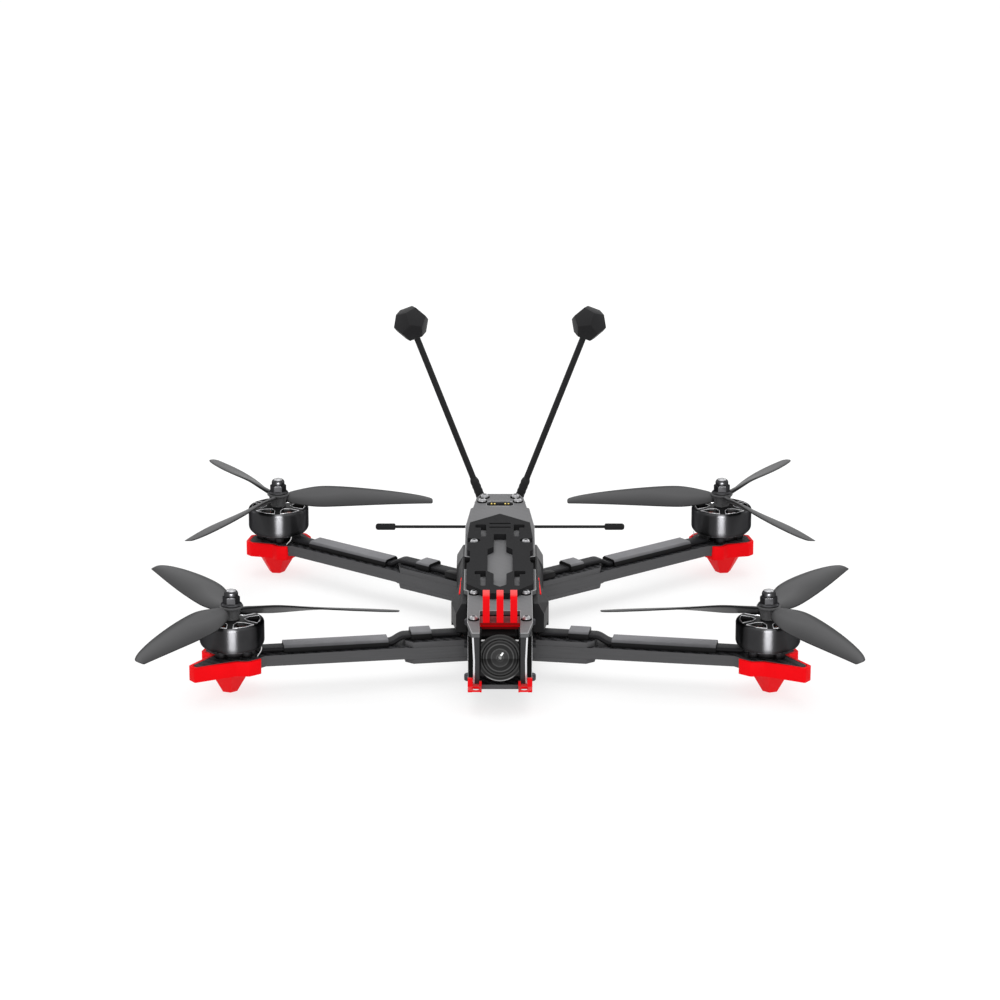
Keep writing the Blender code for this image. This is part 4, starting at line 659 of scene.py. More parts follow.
def carbon(name, woven_colour, edge_colour, roughness, spread):
    """Carbon laminate: twill weave on its faces and stacked plies on its cut edges."""
    look = Finish(name, edge_colour, roughness, gloss=0.12)
    weave = look.use(TWILL, Vector=look.map("plan"), Thread=THREAD)
    plies = look.use(LAYERS, Vector=look.place, Pitch=PLY)
    marks = look.use(GRAIN, Vector=look.place, Size=0.0003)
    flat = look.sums("GREATER_THAN", look.sums("ABSOLUTE", look.facing()), 0.6)
    woven = look.mix(weave["Over"], *shades(woven_colour, spread))
    edge = look.mix(plies["Tone"], *shades(edge_colour, 0.10))
    face_roughness = look.line(weave["Over"], 0.06, roughness - 0.03)
    look.set(Base_Color=look.mix(flat, edge, woven),
             Roughness=look.mix(flat, roughness + 0.08, face_roughness, "FLOAT"))
    edge_height = look.line(plies["Ridge"], 0.25, marks["Specks"])
    face_height = look.line(weave["Height"], spread * 4, marks["Specks"])
    look.bump(look.mix(flat, edge_height, face_height, "FLOAT"), 0.00004)
    return look.material


def printed(name, colour, roughness, painted_top_sheen=None):
    """Soft printed plastic with fine layers and a faint grain; faces that look up may get a paler painted
    sheen.
    """
    look = Finish(name, colour, roughness, gloss=0.06)
    layers = look.use(LAYERS, Vector=look.place, Pitch=PRINT_LAYER)
    marks = look.use(GRAIN, Vector=look.place, Size=0.00035)
    tone = look.times(look.sums("ADD", layers["Ridge"], marks["Patches"]), 0.5)
    lit = look.mix(tone, *shades(colour, 0.14))
    # Painted sheen: faces that look up turn paler and pinker
    if painted_top_sheen:
        lit = look.mix(look.soft(look.facing(), 0.5, 0.95), lit, (*painted_top_sheen, 1))
    look.set(Base_Color=lit, Roughness=look.line(marks["Specks"], 0.2, roughness - 0.1))
    look.bump(look.sums("ADD", layers["Ridge"], marks["Specks"]), 0.00003)
    return look.material


def spun_metal(name, colour, roughness, brushed=0.0, rim=1.0):
    """Turned or machined metal with fine marks, whose reflection falls to rim where it is seen edge on."""
    look = Finish(name, colour, roughness, 1.0, Anisotropic=brushed, Anisotropic_Rotation=0.25,
                  Specular_Tint=(rim, rim, rim, 1))
    marks = look.use(GRAIN, Vector=look.place, Size=0.00025)
    rings = look.use(LAYERS, Vector=look.place, Pitch=TOOL_MARK)
    look.set(Base_Color=look.mix(marks["Patches"], *shades(colour, 0.15)),
             Roughness=look.line(marks["Specks"], 0.10, roughness - 0.05))
    look.bump(rings["Ridge"], 0.000003)
    if brushed:
        look.set(Tangent=look.add("Tangent", {"direction_type": "RADIAL", "axis": "Z"})[0])
    return look.material


def wound(name, colour, roughness, pitch):
    """Lacquered wire laid turn by turn."""
    look = Finish(name, colour, roughness, 1.0)
    turns = look.use(LAYERS, Vector=look.place, Pitch=pitch)
    dark = tuple(value * 0.25 for value in colour)
    look.set(Base_Color=look.mix(turns["Ridge"], (*dark, 1), (*colour, 1)))
    look.bump(turns["Ridge"], 0.0001)
    return look.material


def blade_painted_light(name, colour, roughness):
    """Moulded blade with painted light: painted shade along its thin edges, and a painted sheen behind the
    leading edge and towards the root.
    """
    look = Finish(name, colour, roughness, gloss=0.03)
    out, back, _ = look.split(look.map("chord"))
    marks = look.use(GRAIN, Vector=look.place, Size=0.0006)
    # Painted sheen behind the leading edge
    painted_sheen_band = look.times(look.soft(back, 0.0, 0.25), look.soft(back, 1.05, 0.25))
    edge = look.sums("MINIMUM", back, look.sums("SUBTRACT", 1.0, back))
    tone = look.line(painted_sheen_band, 0.55, 0.45)
    # Painted shade along both thin edges
    tone = look.times(tone, look.line(look.soft(edge, 0.030, 0.070), 0.75, 0.25))
    # Painted sheen towards the root
    tone = look.times(tone, look.line(look.soft(out, 0.50, 0.20), 0.20, 1.0))
    hub = look.sums("LESS_THAN", out, 0.03)
    tone = look.mix(hub, tone, 0.95, "FLOAT")
    look.set(Base_Color=look.mix(tone, (0, 0, 0, 1), (*colour, 1)),
             Roughness=look.line(marks["Patches"], 0.06, roughness - 0.03))
    look.bump(marks["Specks"], 0.000003)
    return look.material


def lens_painted_light(name, colour, roughness, gloss):
    """Lens with painted light: soft pale rings about the axis as painted highlights, a painted reflection
    that is darker below the middle, and a painted highlight at the lower rim.
    """
    look = Finish(name, colour, roughness, gloss=gloss)
    plan = look.map("plan")
    radius = look.add("VectorMath", {"operation": "LENGTH"}, Vector=plan)["Value"]
    rise = look.split(plan)[1]
    tone = colour[0]
    # Pale rings painted as highlights
    for ring, light in LENS_PAINTED_RINGS:
        away = look.sums("ABSOLUTE", look.sums("SUBTRACT", radius, ring))
        tone = look.line(look.soft(away, 0.00055, 0.00005), light, tone)
    # Painted reflection: darker below the middle of the lens
    below = look.sums("LESS_THAN", rise, -0.0004)
    lower = look.line(look.soft(rise, -0.0012, -0.0045), 0.40, 0.45)
    tone = look.times(tone, look.mix(below, 1.0, lower, "FLOAT"))
    # Painted highlight at the lower rim
    rim = look.times(look.soft(radius, 0.0114, 0.0119), look.soft(rise, -0.0085, -0.0108))
    look.set(Base_Color=look.line(rim, 0.22, tone))
    return look.material


plate_carbon = carbon("plate_carbon", (0.141, 0.141, 0.145), (0.115, 0.115, 0.118), 0.55, 0.04)
arm_carbon = carbon("arm_carbon", (0.026, 0.026, 0.028), (0.085, 0.085, 0.088), 0.50, 0.5)
plate_edge = moulded("plate_edge", (0.33, 0.33, 0.335), 0.45, depth=0.00001, gloss=0.12)
pad_rubber = moulded("pad_rubber", (0.015, 0.015, 0.016), 0.80, 0.0004, 0.00004, gloss=0.08)

red_print = printed("red_print", (0.96, 0.002, 0.006), 0.50)
# Brighter red painted on faces that look down, as light against the shade under the guards
red_foot = printed("red_foot", (1.0, 0.011, 0.015), 0.50)
# Red with a painted pale sheen on its faces that look up
red_scuffed = printed("red_scuffed", (0.80, 0.002, 0.006), 0.50, (0.74, 0.07, 0.07))
# Dark reds painted as shade on the mount below its ledge
red_deep = printed("red_deep", (0.24, 0.001, 0.001), 0.55)
red_dusty = printed("red_dusty", (0.17, 0.040, 0.041), 0.60)
red_shade = printed("red_shade", (0.11, 0.001, 0.001), 0.60)

black_satin = moulded("black_satin", (0.007, 0.007, 0.0075), 0.42, gloss=0.12)
# Black satin with a painted highlight that makes its faces that look up 19 times as light
cover_satin = moulded("cover_satin", (0.009, 0.009, 0.0095), 0.42, top=19, gloss=0.08)
side_satin = moulded("side_satin", (0.0155, 0.0155, 0.0165), 0.50, gloss=0.08)
# Paler copy of the side black, painted on the side covers' upward rear faces as a highlight
side_light = moulded("side_light", (0.095, 0.095, 0.097), 0.50, gloss=0.08)
# The lead's faces that look up carry a painted highlight that makes them 1.8 times as light
lead_sheath = moulded("lead_sheath", (0.009, 0.009, 0.010), 0.46, 0.0005, 0.00006, top=1.8, gloss=0.10)
antenna_black = moulded("antenna_black", (0.017, 0.017, 0.018), 0.55, 0.0004, 0.00003, gloss=0.10)
# Near-black finish that paints shade into screw sockets, washers, slots, gaps and faces turned from the light
hole_black = moulded("hole_black", (0.003, 0.003, 0.003), 0.60, 0.0005, 0.00001, gloss=0.02)

prop_plastic = blade_painted_light("prop_plastic", (0.086, 0.086, 0.088), 0.38)
bell_metal = spun_metal("bell_metal", (0.042, 0.042, 0.044), 0.36, 1.0, 0.35)
crown_black = moulded("crown_black", (0.008, 0.008, 0.0085), 0.45, depth=0.00001, gloss=0.10)
magnet_plate = spun_metal("magnet_plate", (0.045, 0.045, 0.05), 0.45)
base_metal = spun_metal("base_metal", (0.030, 0.030, 0.032), 0.45, rim=0.4)
nut_steel = spun_metal("nut_steel", (0.040, 0.040, 0.042), 0.34, rim=0.35)
core_steel = spun_metal("core_steel", (0.06, 0.06, 0.065), 0.5)
copper_wire = wound("copper_wire", (0.36, 0.075, 0.035), 0.34, 0.0007)

cage_metal = moulded("cage_metal", (0.030, 0.030, 0.032), 0.40, depth=0.00001, gloss=0.20)
bright_cut = moulded("bright_cut", (0.80, 0.80, 0.82), 0.30, depth=0.000004, spread=0.05, metallic=0.5)
screw_steel = moulded("screw_steel", (0.34, 0.34, 0.35), 0.38, depth=0.000004, spread=0.1, metallic=0.6)
dark_screw = spun_metal("dark_screw", (0.055, 0.055, 0.06), 0.36)
lens_coat = lens_painted_light("lens_coat", (0.028, 0.028, 0.029), 0.45, 0.02)
# The glass dome carries the same painted rings and reflection
lens_glass = lens_painted_light("lens_glass", (0.028, 0.028, 0.029), 0.10, 0.25)

board_black = moulded("board_black", (0.012, 0.013, 0.014), 0.36, 0.0006, 0.00001)
chip_black = moulded("chip_black", (0.020, 0.020, 0.021), 0.55, depth=0.00001)
gold_contact = moulded("gold_contact", (0.90, 0.66, 0.18), 0.25, 0.0005, 0.000002, metallic=0.7)
white_mark = moulded("white_mark", (0.78, 0.78, 0.78), 0.40, 0.0005, 0.00001, spread=0.04)


# Frames

def motor_foot(place):
    """Point on the ground under a motor."""
    return JOINTS[f"spin_{place}"] * Vector((1, 1, 0))


def arm_frame(place):
    """On the ground under a motor, with X along the arm towards the body."""
    foot = motor_foot(place)
    along = Vector((0, ARM_ROOT_Y[place.split("_")[0]], 0)) - foot
    return Matrix.Translation(foot) @ rolled("Z", math.atan2(along.y, along.x))


def rotor_frame(place):
    """On the ground under a motor, turned to the first blade."""
    end, flank = place.split("_")
    rest = BLADE_REST_ANGLE * ENDS[end]
    return Matrix.Translation(motor_foot(place)) @ rolled("Z", -rest if FLANKS[flank] < 0 else math.pi + rest)


def arm_length(place):
    """From the motor axis to the middle of the body, along the arm."""
    end = place.split("_")[0]
    motor = JOINTS[f"spin_{place}"]
    return Vector((motor.x, motor.y - ARM_ROOT_Y[end])).length


def along_arm(place, x):
    """From the motor axis to a distance from the middle plane, along the arm."""
    motor = abs(JOINTS[f"spin_{place}"].x)
    return arm_length(place) * (motor - x) / motor


def wing_reach(place):
    """From the motor axis to the plate wings' ends, along the arm."""
    return along_arm(place, WING_END_X[place.split("_")[0]])


# Carbon plates, pad and arms

def notch_front_painted_shade(face):
    """The front faces of the strap notches in the top plate, which are painted black as shade."""
    middle = face.calc_center_median()
    near, far = STRAP_NOTCH_Y
    return face.normal.y < -0.5 and abs(middle.x) > STRAP_NOTCH_X and near < middle.y < far


def dress_plates():
    for node in ("bottom_plate", "middle_plate"):
        stand_for(node, "laminate", lay_plan(eased(copy_of(node), PLATE_EDGE, 1)), arm_carbon, "carbon")
    plate = copy_of("top_plate")
    rim = [edge for edge in sharp_edges(plate) if lowest(edge) > TOP_PLATE_TOP - HAIR]
    # The notches' front faces are painted black as shade
    plate = chamfered(painted(plate, 2, notch_front_painted_shade), rim, PLATE_CHAMFER, 1)
    stand_for("top_plate", "laminate", lay_plan(plate), [plate_carbon, plate_edge, black_satin], "carbon")
    pad = copy_of("battery_pad")
    pad = eased(pad, PAD_CORNER, 2, upright_edges(pad))
    stand_for("battery_pad", "rubber", pad, pad_rubber, "rubber", smooth=12)


def dress_arm(place):
    turn = arm_frame(place)
    back = turn.inverted()
    arm = copy_of(f"arm_{place}")
    # The root fills the gap between the bottom plate and the middle plate
    for vert in arm.verts:
        if (back @ vert.co).x > wing_reach(place) - ROOT_LENGTH:
            upper = vert.co.z > (ARM_SEAT + ARM_ROOF) / 2
            vert.co.z = ARM_ROOF - WELD if upper else ARM_SEAT + WELD
    tip = [edge for edge in upright_edges(arm) if (back @ edge.verts[0].co).x < LEAD_START]
    arm = eased(eased(arm, TIP_ROUND, 3, tip), ARM_EDGE, 1)
    stand_for(f"arm_{place}", "laminate", lay_plan(arm, turn), arm_carbon, "carbon")

    guard = copy_of(f"motor_guard_{place}")
    guard = eased(eased(guard, TIP_ROUND, 3, upright_edges(guard)), SOFT_EDGE)
    # Faces that look down get the brighter red, painted light against the shade under the guard
    painted(guard, 1, lambda face: face.normal.z < -0.05)
    stand_for(f"motor_guard_{place}", "print", guard, [red_print, red_foot], "red_soft_plastic")

    cover = eased(copy_of(f"lead_cover_{place}"), SOFT_EDGE)
    stand_for(f"lead_cover_{place}", "shell", cover, cover_satin, "black_plastic")


def dress_lead(place):
    """The flat lead of a motor on its arm, with the clip over it, and a thin white curve at the motor's foot.
    """
    turn, reach = arm_frame(place), wing_reach(place)
    rear = place.startswith("rear")
    foot, length, half = reach + CLIP_GAP, CLIP_LENGTH, CLIP_WIDTH / 2
    if rear:
        foot, length = foot + REAR_CLIP_SHIFT, length * REAR_CLIP_SHARE
    clip = block((foot, -half, BAY_FLOOR), (foot + length, half, BAY_FLOOR + CLIP_HEIGHT))
    tops = [edge for edge in clip.edges if lowest(edge) > BAY_FLOOR + HAIR and span(edge, 1) < HAIR]
    clip = eased(eased(clip, CLIP_SHOULDER, 1, tops), SOFT_EDGE)
    show(f"lead_clip_{place}", placed(clip, turn), cover_satin, "black_plastic")

    low, middle, upper = (level + LEAD_THICKNESS / 2 for level in (STATOR_BOTTOM, MOTOR_SEAT, BAY_FLOOR))
    ramp = reach - LEAD_RAMP
    path = [(LEAD_START, low), (LEAD_START, middle + 0.001), (LEAD_START + 0.0006, middle),
            (LEAD_START + 0.0030, middle), (ramp - 0.0020, middle), (ramp + 0.0010, middle),
            (reach - 0.0015, upper), (reach + 0.0020, upper), (along_arm(place, LEAD_END_X), upper)]
    ribbon = drawn([(u, z, 0) for u, z in path], LEAD_THICKNESS / 2, LEAD_WIDTH / 2)
    show(f"motor_lead_{place}", placed(ribbon, turn @ rolled("X", QUARTER)), lead_sheath, "black_plastic",
         f"motor_stator_{place}")

    # Only the rear arms have a shroud, on the side of the lead that looks to the nose
    if rear:
        forward = 1 if turn[1][1] < 0 else -1
        sides = sorted(forward * side for side in SHROUD_SIDES)
        run = arm_length(place)
        shroud = block((run - SHROUD_FAR, sides[0], BAY_FLOOR - 0.0001),
                       (run - SHROUD_NEAR, sides[1], BAY_FLOOR + SHROUD_HEIGHT))
        show(f"lead_shroud_{place}", placed(eased(shroud, 0.0006), turn), black_satin, "black_plastic")

    # A thin white bar curves from the bell's foot down to the arm top
    side = 1 if turn[1][1] * turn.translation.x > 0 else -1
    path = [(0.0150, 0.0066, BELL_FOOT + 0.0006), (0.0147, 0.0070, BELL_FOOT - 0.0014),
            (0.0136, 0.0076, (BELL_FOOT + ARM_TOP) / 2 - 0.0004), (0.0124, 0.0080, ARM_TOP + 0.0002)]
    wire = placed(drawn([(u, side * v, z) for u, v, z in path], WIRE_RADIUS), turn)
    show(f"motor_wire_{place}", wire, white_mark, "copper")


# Motors

BELL_LOOKS = [bell_metal, bright_cut, magnet_plate, screw_steel, crown_black]


def bell_inside(face):
    """The faces of the bell that look at its axis or lie within its rim."""
    middle = face.calc_center_median()
    return middle.xy.length < BELL_RADIUS - 0.0016 or middle.xy.dot(face.normal.xy) < 0


def bell_shape():
    """Bell with its windows, its magnets and the shaft."""
    inner = BELL_RADIUS - BELL_WALL
    ceiling = BELL_TOP - BELL_CROWN
    profile = [(SHAFT_RADIUS, BELL_TOP), (BELL_HUB_RADIUS, BELL_TOP),
               (BELL_RADIUS - 0.0017, BELL_TOP - 0.0003)]
    for curve, height, start, swing in ((BELL_SHOULDER, BELL_TOP - 0.0018, 80, 80),
                                        (BELL_SKIRT, BELL_FOOT + BELL_SKIRT, 0, 90)):
        for step in range(7):
            angle = math.radians(start - step * swing / 6)
            profile.append((BELL_RADIUS - curve * (1 - math.cos(angle)), height + curve * math.sin(angle)))
    profile += [(inner, BELL_FOOT), (inner, ceiling), (SHAFT_RADIUS, ceiling)]
    side = (WINDOW_FAR * math.cos(WINDOW_SWING), WINDOW_FAR * math.sin(WINDOW_SWING))
    root = (WINDOW_NEAR + 0.0020, WINDOW_NEAR * math.sin(WINDOW_SWING) + 0.0004)
    outline = [(WINDOW_NEAR, 0), (root[0], -root[1]), (side[0], -side[1]), (WINDOW_FAR, 0), side, root]
    window = prism(outline, ceiling - BELL_CROWN, BELL_TOP + BELL_CROWN)
    shell = cut(turned(profile, 96, closed=True), ring_of(window.copy(), BELL_WINDOWS))
    painted(shell, BELL_LOOKS.index(crown_black), bell_inside)

    spread = WINDOW_LINE / math.cos(WINDOW_SWING)
    wider = [(x - WINDOW_LINE * (x == WINDOW_NEAR), y + math.copysign(spread, y) * (y != 0))
             for x, y in outline]
    rim = eased(cut(prism(wider, BELL_TOP - 0.0003, BELL_TOP + 0.0001), window), 0.00008, 1)
    rims = painted(ring_of(rim, BELL_WINDOWS), BELL_LOOKS.index(bright_cut))

    half = MAGNET_SHARE * math.tau / MAGNETS * inner
    magnet = block((inner - MAGNET_THICKNESS, -half, STATOR_BOTTOM), (inner + 0.0003, half, STATOR_TOP))
    magnets = painted(ring_of(eased(magnet, 0.00015, 1), MAGNETS), BELL_LOOKS.index(magnet_plate))
    shaft = turned([(0, BELL_SHAFT_TOP), (SHAFT_RADIUS - 0.0010, BELL_SHAFT_TOP),
                    (SHAFT_RADIUS, BELL_SHAFT_TOP - 0.0007), (SHAFT_RADIUS, BELL_LOW), (0, BELL_LOW)], 32)
    return together(shell, rims, magnets, painted(shaft, BELL_LOOKS.index(screw_steel)))


def core_shape():
    """Laminated stator with a tooth for each coil."""
    tooth = [(radius, -swing) for radius, swing in TOOTH_SIDE] + list(reversed(TOOTH_SIDE))
    outline = []
    for i in range(STATOR_TEETH):
        for radius, swing in tooth:
            angle = i * math.tau / STATOR_TEETH + math.radians(swing)
            outline.append((radius * math.cos(angle), radius * math.sin(angle)))
    core = prism(outline, STATOR_BOTTOM + COIL_OVERHANG, STATOR_TOP - COIL_OVERHANG)
    return cut(core, bar(STATOR_BORE, 2 * STATOR_TOP, 32))


def coils_shape():
    """Copper coils round the teeth."""
    coil = block((STATOR_YOKE_RADIUS + 0.0003, -COIL_HALF, STATOR_BOTTOM), (COIL_END, COIL_HALF, STATOR_TOP))
    return ring_of(eased(coil, 0.0009, 3), STATOR_TEETH)


def blade_shape(hand):
    """One blade along X, which leads towards +Y when hand is 1."""
    middle = HUB_LOW + HUB_HEIGHT / 2
    sections = []
    for shares in BLADE_SHARES:
        radius, lead, trail, thickness, lift = [share * PROP_RADIUS for share in shares]
        pitch = math.atan(PROP_PITCH / (math.tau * max(radius, PITCH_ROOT_RADIUS)))
        section = []
        for back, up in SECTION_SHARES:
            along, rise = lead - back * (lead - trail), up * thickness
            section.append((radius, hand * (along * math.cos(pitch) - rise * math.sin(pitch)),
                            middle + lift + along * math.sin(pitch) + rise * math.cos(pitch)))
        sections.append(section)
    skin = skinned(sections)
    skin.verts.index_update()
    layer = skin.loops.layers.uv.new("chord")
    for face in skin.faces:
        for loop in face.loops:
            row, column = divmod(loop.vert.index, len(SECTION_SHARES))
            loop[layer].uv = (BLADE_SHARES[row][0], SECTION_SHARES[column][0])
    return modified(skin, "SUBSURF", levels=2, render_levels=2)


def propeller_shape(hand):
    """Hub with a wide collar on a tube, webs between the two, and the blades."""
    low, top, tube = HUB_LOW, HUB_LOW + HUB_HEIGHT, HUB_TUBE_RADIUS
    hub = turned([(PROP_BORE, low), (tube + 0.0003, low), (tube + 0.0005, low + 0.0008), (tube, low + 0.0014),
                  (tube, top - 0.0024), (HUB_RADIUS - 0.0005, top - 0.0014), (HUB_RADIUS, top - 0.0009),
                  (HUB_RADIUS, top - 0.0003), (HUB_RADIUS - 0.0003, top), (PROP_BORE, top)], 48, closed=True)
    web = prism([(tube - 0.0004, low + 0.0006), (tube + 0.0004, low + 0.0006),
                 (HUB_RADIUS - 0.0004, top - 0.0011), (tube - 0.0004, top - 0.0011)],
                -HUB_WEB_HALF, HUB_WEB_HALF)
    webs = ring_of(placed(eased(web, CRISP_EDGE), rolled("X", QUARTER)), HUB_WEBS, math.radians(30))
    return cut(fused(hub, webs, ring_of(blade_shape(hand), BLADES)), bar(PROP_BORE, 2 * top, 48))


def nut_shape():
    """Flanged hexagon nut with a round dome over its locking ring."""
    corner, flange = NUT_CORNER, NUT_FLANGE
    hex_low, hex_top, top = NUT_LOW + 0.0008, NUT_LOW + 0.0047, NUT_TOP - 0.0006
    collar = turned([(PROP_BORE, NUT_LOW), (flange - 0.0002, NUT_LOW), (flange, NUT_LOW + 0.0003),
                     (flange - 0.0003, NUT_LOW + 0.0007), (corner - 0.0002, NUT_LOW + 0.0012),
                     (corner - 0.0009, NUT_LOW + 0.0014), (corner - 0.0012, hex_top),
                     (0.0034, hex_top + 0.0001), (0.0034, hex_top + 0.0004), (0.0037, hex_top + 0.0006),
                     (0.0037, top - 0.0013), (0.0034, top - 0.0006), (0.0028, top - 0.0001),
                     (PROP_BORE, top)], 48, closed=True)
    middle = Matrix.Translation((0, 0, (hex_low + hex_top) / 2))
    flats = bmesh.new()
    bmesh.ops.create_cone(flats, cap_ends=True, segments=6, radius1=corner, radius2=corner,
                          depth=hex_top - hex_low, matrix=middle @ rolled("Z", math.radians(30)))
    cone = turned([(0, hex_low - 0.001), (corner + 0.0012, hex_low - 0.001),
                   (corner + 0.0012, hex_top - 0.0011), (corner - 0.0005, hex_top), (0, hex_top)], 48)
    flats = combined("INTERSECT", eased(flats, 0.00025), cone)
    # The hexagon's hole lies within the collar's wall, so that the two have no face in common
    return fused(collar, cut(flats, bar(PROP_BORE + 0.0003, 1, 48)))


def dress_motor(place, bell, core, coils, props, nut):
    end, flank = place.split("_")
    base = eased(copy_of(f"motor_base_{place}"), CRISP_EDGE)
    stand_for(f"motor_base_{place}", "casting", base, base_metal, "dark_alloy")
    for name, shape, look in (("stator_core", core, core_steel), ("stator_coils", coils, copper_wire)):
        show(f"{name}_{place}", placed(shape.copy(), arm_frame(place)), look, "copper",
             f"motor_stator_{place}")
    blades = props[ENDS[end] * FLANKS[flank]]
    for name, node, shape, looks, slot in (("bell", "rotor_bell", bell, BELL_LOOKS, "dark_alloy"),
                                           ("blades", "propeller", blades, prop_plastic, "propeller_plastic"),
                                           ("prop_nut", "propeller_nut", nut, nut_steel, "dark_steel")):
        show(f"{name}_{place}", placed(shape.copy(), rotor_frame(place)), looks, slot, f"{node}_{place}",
             body=f"rotor_{place}")


# Screws

def screw_shape(radius, height, washer):
    """Button-head screw on the origin, with a hexagon socket painted near black as shade and, if asked for, a
    washer whose near-black colour is partly painted shade.
    """
    socket, lift = 0.46 * radius, 0.0005 if washer else 0.0
    shape = turned([(0, lift), (radius, lift), (radius, 0.22 * height), (0.95 * radius, 0.50 * height),
                    (0.80 * radius, 0.84 * height), (0.62 * radius, height), (socket, height)], 24)
    for vert in shape.verts:
        if vert.co.z > height - WELD and vert.co.xy.length < socket + WELD:
            angle = math.atan2(vert.co.y, vert.co.x)
            vert.co.xy *= math.cos(math.radians(30)) / math.cos(angle % math.radians(60) - math.radians(30))
    edges = [edge for edge in shape.edges if edge.is_boundary]
    lower = bmesh.ops.extrude_edge_only(shape, edges=edges)["geom"]
    bmesh.ops.translate(shape, vec=(0, 0, -0.6 * (height - lift)), verts=verts_in(lower))
    edges = [edge for edge in shape.edges if edge.is_boundary]
    # The socket's walls and floor are painted near black as shade
    for face in faces_in(lower) + bmesh.ops.holes_fill(shape, edges=edges, sides=0)["faces"]:
        face.material_index = 1
    if washer:
        ring = turned([(0, 0), (WASHER_RADIUS, 0), (WASHER_RADIUS, WASHER_HEIGHT / 2),
                       (WASHER_RADIUS - 0.0002, WASHER_HEIGHT), (radius, WASHER_HEIGHT),
                       (0, WASHER_HEIGHT)], 32)
        shape = together(shape, painted(ring, 1))
    return shape


def screws(name, points, radius, height, look, turn=Matrix.Identity(4), washer=False):
    """Screws at some points, each turned a little further than the one before."""
    matrices = [Matrix.Translation(point) @ turn @ rolled("Z", i * 0.9) for i, point in enumerate(points)]
    show(name, placed(screw_shape(radius, height, washer), *matrices), [look, hole_black], "dark_steel")


def both_sides(pairs, height):
    """Points at some (x, y) and at their mirror images."""
    return [(side * x, y, height) for x, y in pairs for side in FLANKS.values()]


def dress_screws():
    upper = both_sides((NOSE_SCREW, FRONT_POST, TAIL_SCREW, WINDOW_SCREW), TOP_PLATE_TOP)
    screws("top_plate_screws", upper, 0.0023, 0.0020, screw_steel, washer=True)
    collar = turned([(0, 0), (0.0026, 0), (0.0026, COLLAR_HEIGHT - 0.0003), (0.0024, COLLAR_HEIGHT),
                     (0, COLLAR_HEIGHT)], 32)
    collars = spots(collar, *both_sides((REAR_POST,), TOP_PLATE_TOP))
    show("pad_screw_collars", collars, dark_screw, "dark_steel")
    screws("pad_screws", both_sides((REAR_POST,), TOP_PLATE_TOP + COLLAR_HEIGHT), 0.0022, 0.0018, screw_steel)
    under = both_sides((FRONT_POST, REAR_POST, TAIL_SCREW, *STACK_SCREWS), LOWER_PLATE_BOTTOM)
    under += [arm_frame(place) @ Vector((wing_reach(place) + reach, 0, LOWER_PLATE_BOTTOM))
              for place in PLACES for reach in WING_SCREWS]
    screws("bottom_plate_screws", under, 0.0024, 0.0016, screw_steel, rolled("X", math.pi), True)
    for flank, side in FLANKS.items():
        turn, outer = rolled("Y", side * QUARTER), side * CAGE_OUTER_X
        screws(f"cage_upper_screw_{flank}", [(outer, -0.1070, 0.0413)], 0.0019, 0.0019, magnet_plate, turn)
        screws(f"cage_lower_screw_{flank}", [(outer, -0.1250, 0.0170)], 0.0023, 0.0020, dark_screw, turn)


# Camera and its cage

def lens_shapes():
    """Glass dome and the ringed front about it, along Z from the camera's face."""
    curve = (GLASS_RADIUS ** 2 + GLASS_RISE ** 2) / (2 * GLASS_RISE)
    radii = [GLASS_RADIUS * step / 12 for step in range(13)]
    dome = [(radius, GLASS_TOP - curve + math.sqrt(curve ** 2 - radius ** 2)) for radius in radii]
    glass = turned([*dome, (GLASS_RADIUS, 0.0002), (0, 0.0002)], 96, base=CAMERA_FACE)
    profile = [(0, 0.0003), (GLASS_RADIUS + 0.0001, 0.0003), (GLASS_RADIUS + 0.0001, 0.0009),
               (GLASS_RADIUS + 0.0003, 0.0009), (GLASS_RADIUS + 0.0005, 0.0006)]
    for radius, rise in LENS_RIDGES:
        profile += [(radius - 0.0004, rise - 0.0003), (radius - 0.0001, rise), (radius + 0.0001, rise),
                    (radius + 0.0003, rise - 0.0002)]
    profile += [(LENS_RADIUS - 0.0001, 0.0006), (LENS_RADIUS, 0.0004), (LENS_RADIUS, -LENS_DEPTH),
                (0, -LENS_DEPTH)]
    return glass, turned(profile, 96, base=CAMERA_FACE)


def dress_camera():
    tilt = Matrix.Translation(JOINTS["camera_tilt"]) @ rolled("X", -CAMERA_TILT)
    turn = tilt @ rolled("X", QUARTER)
    back = turn.inverted()
    housing = eased(copy_of("camera_body"), CRISP_EDGE)
    # The bezel's front carries the lens's painted rings and reflection
    painted(housing, 1, lambda face: (back @ face.calc_center_median()).z > CAMERA_FACE - 0.0006)
    show("camera_housing", lay_plan(housing, turn), [black_satin, lens_coat], "black_plastic", "camera_body",
         body="camera")
    glass, rings = (lay_plan(placed(shape, turn), turn) for shape in lens_shapes())
    show("lens_glass_dome", glass, lens_glass, "lens_glass", "camera_lens", body="camera", smooth=50)
    show("lens_rings", rings, lens_coat, "lens_glass", "camera_lens", body="camera", smooth=50)
    low, high = LIGHT_BAR
    across = rolled("Y", math.pi) @ Matrix.Translation((0, 0, -(low[2] + high[2])))
    bars = placed(eased(block(low, high), 0.0001), turn, turn @ across)
    show("camera_light_bars", bars, white_mark, "black_plastic", body="camera")


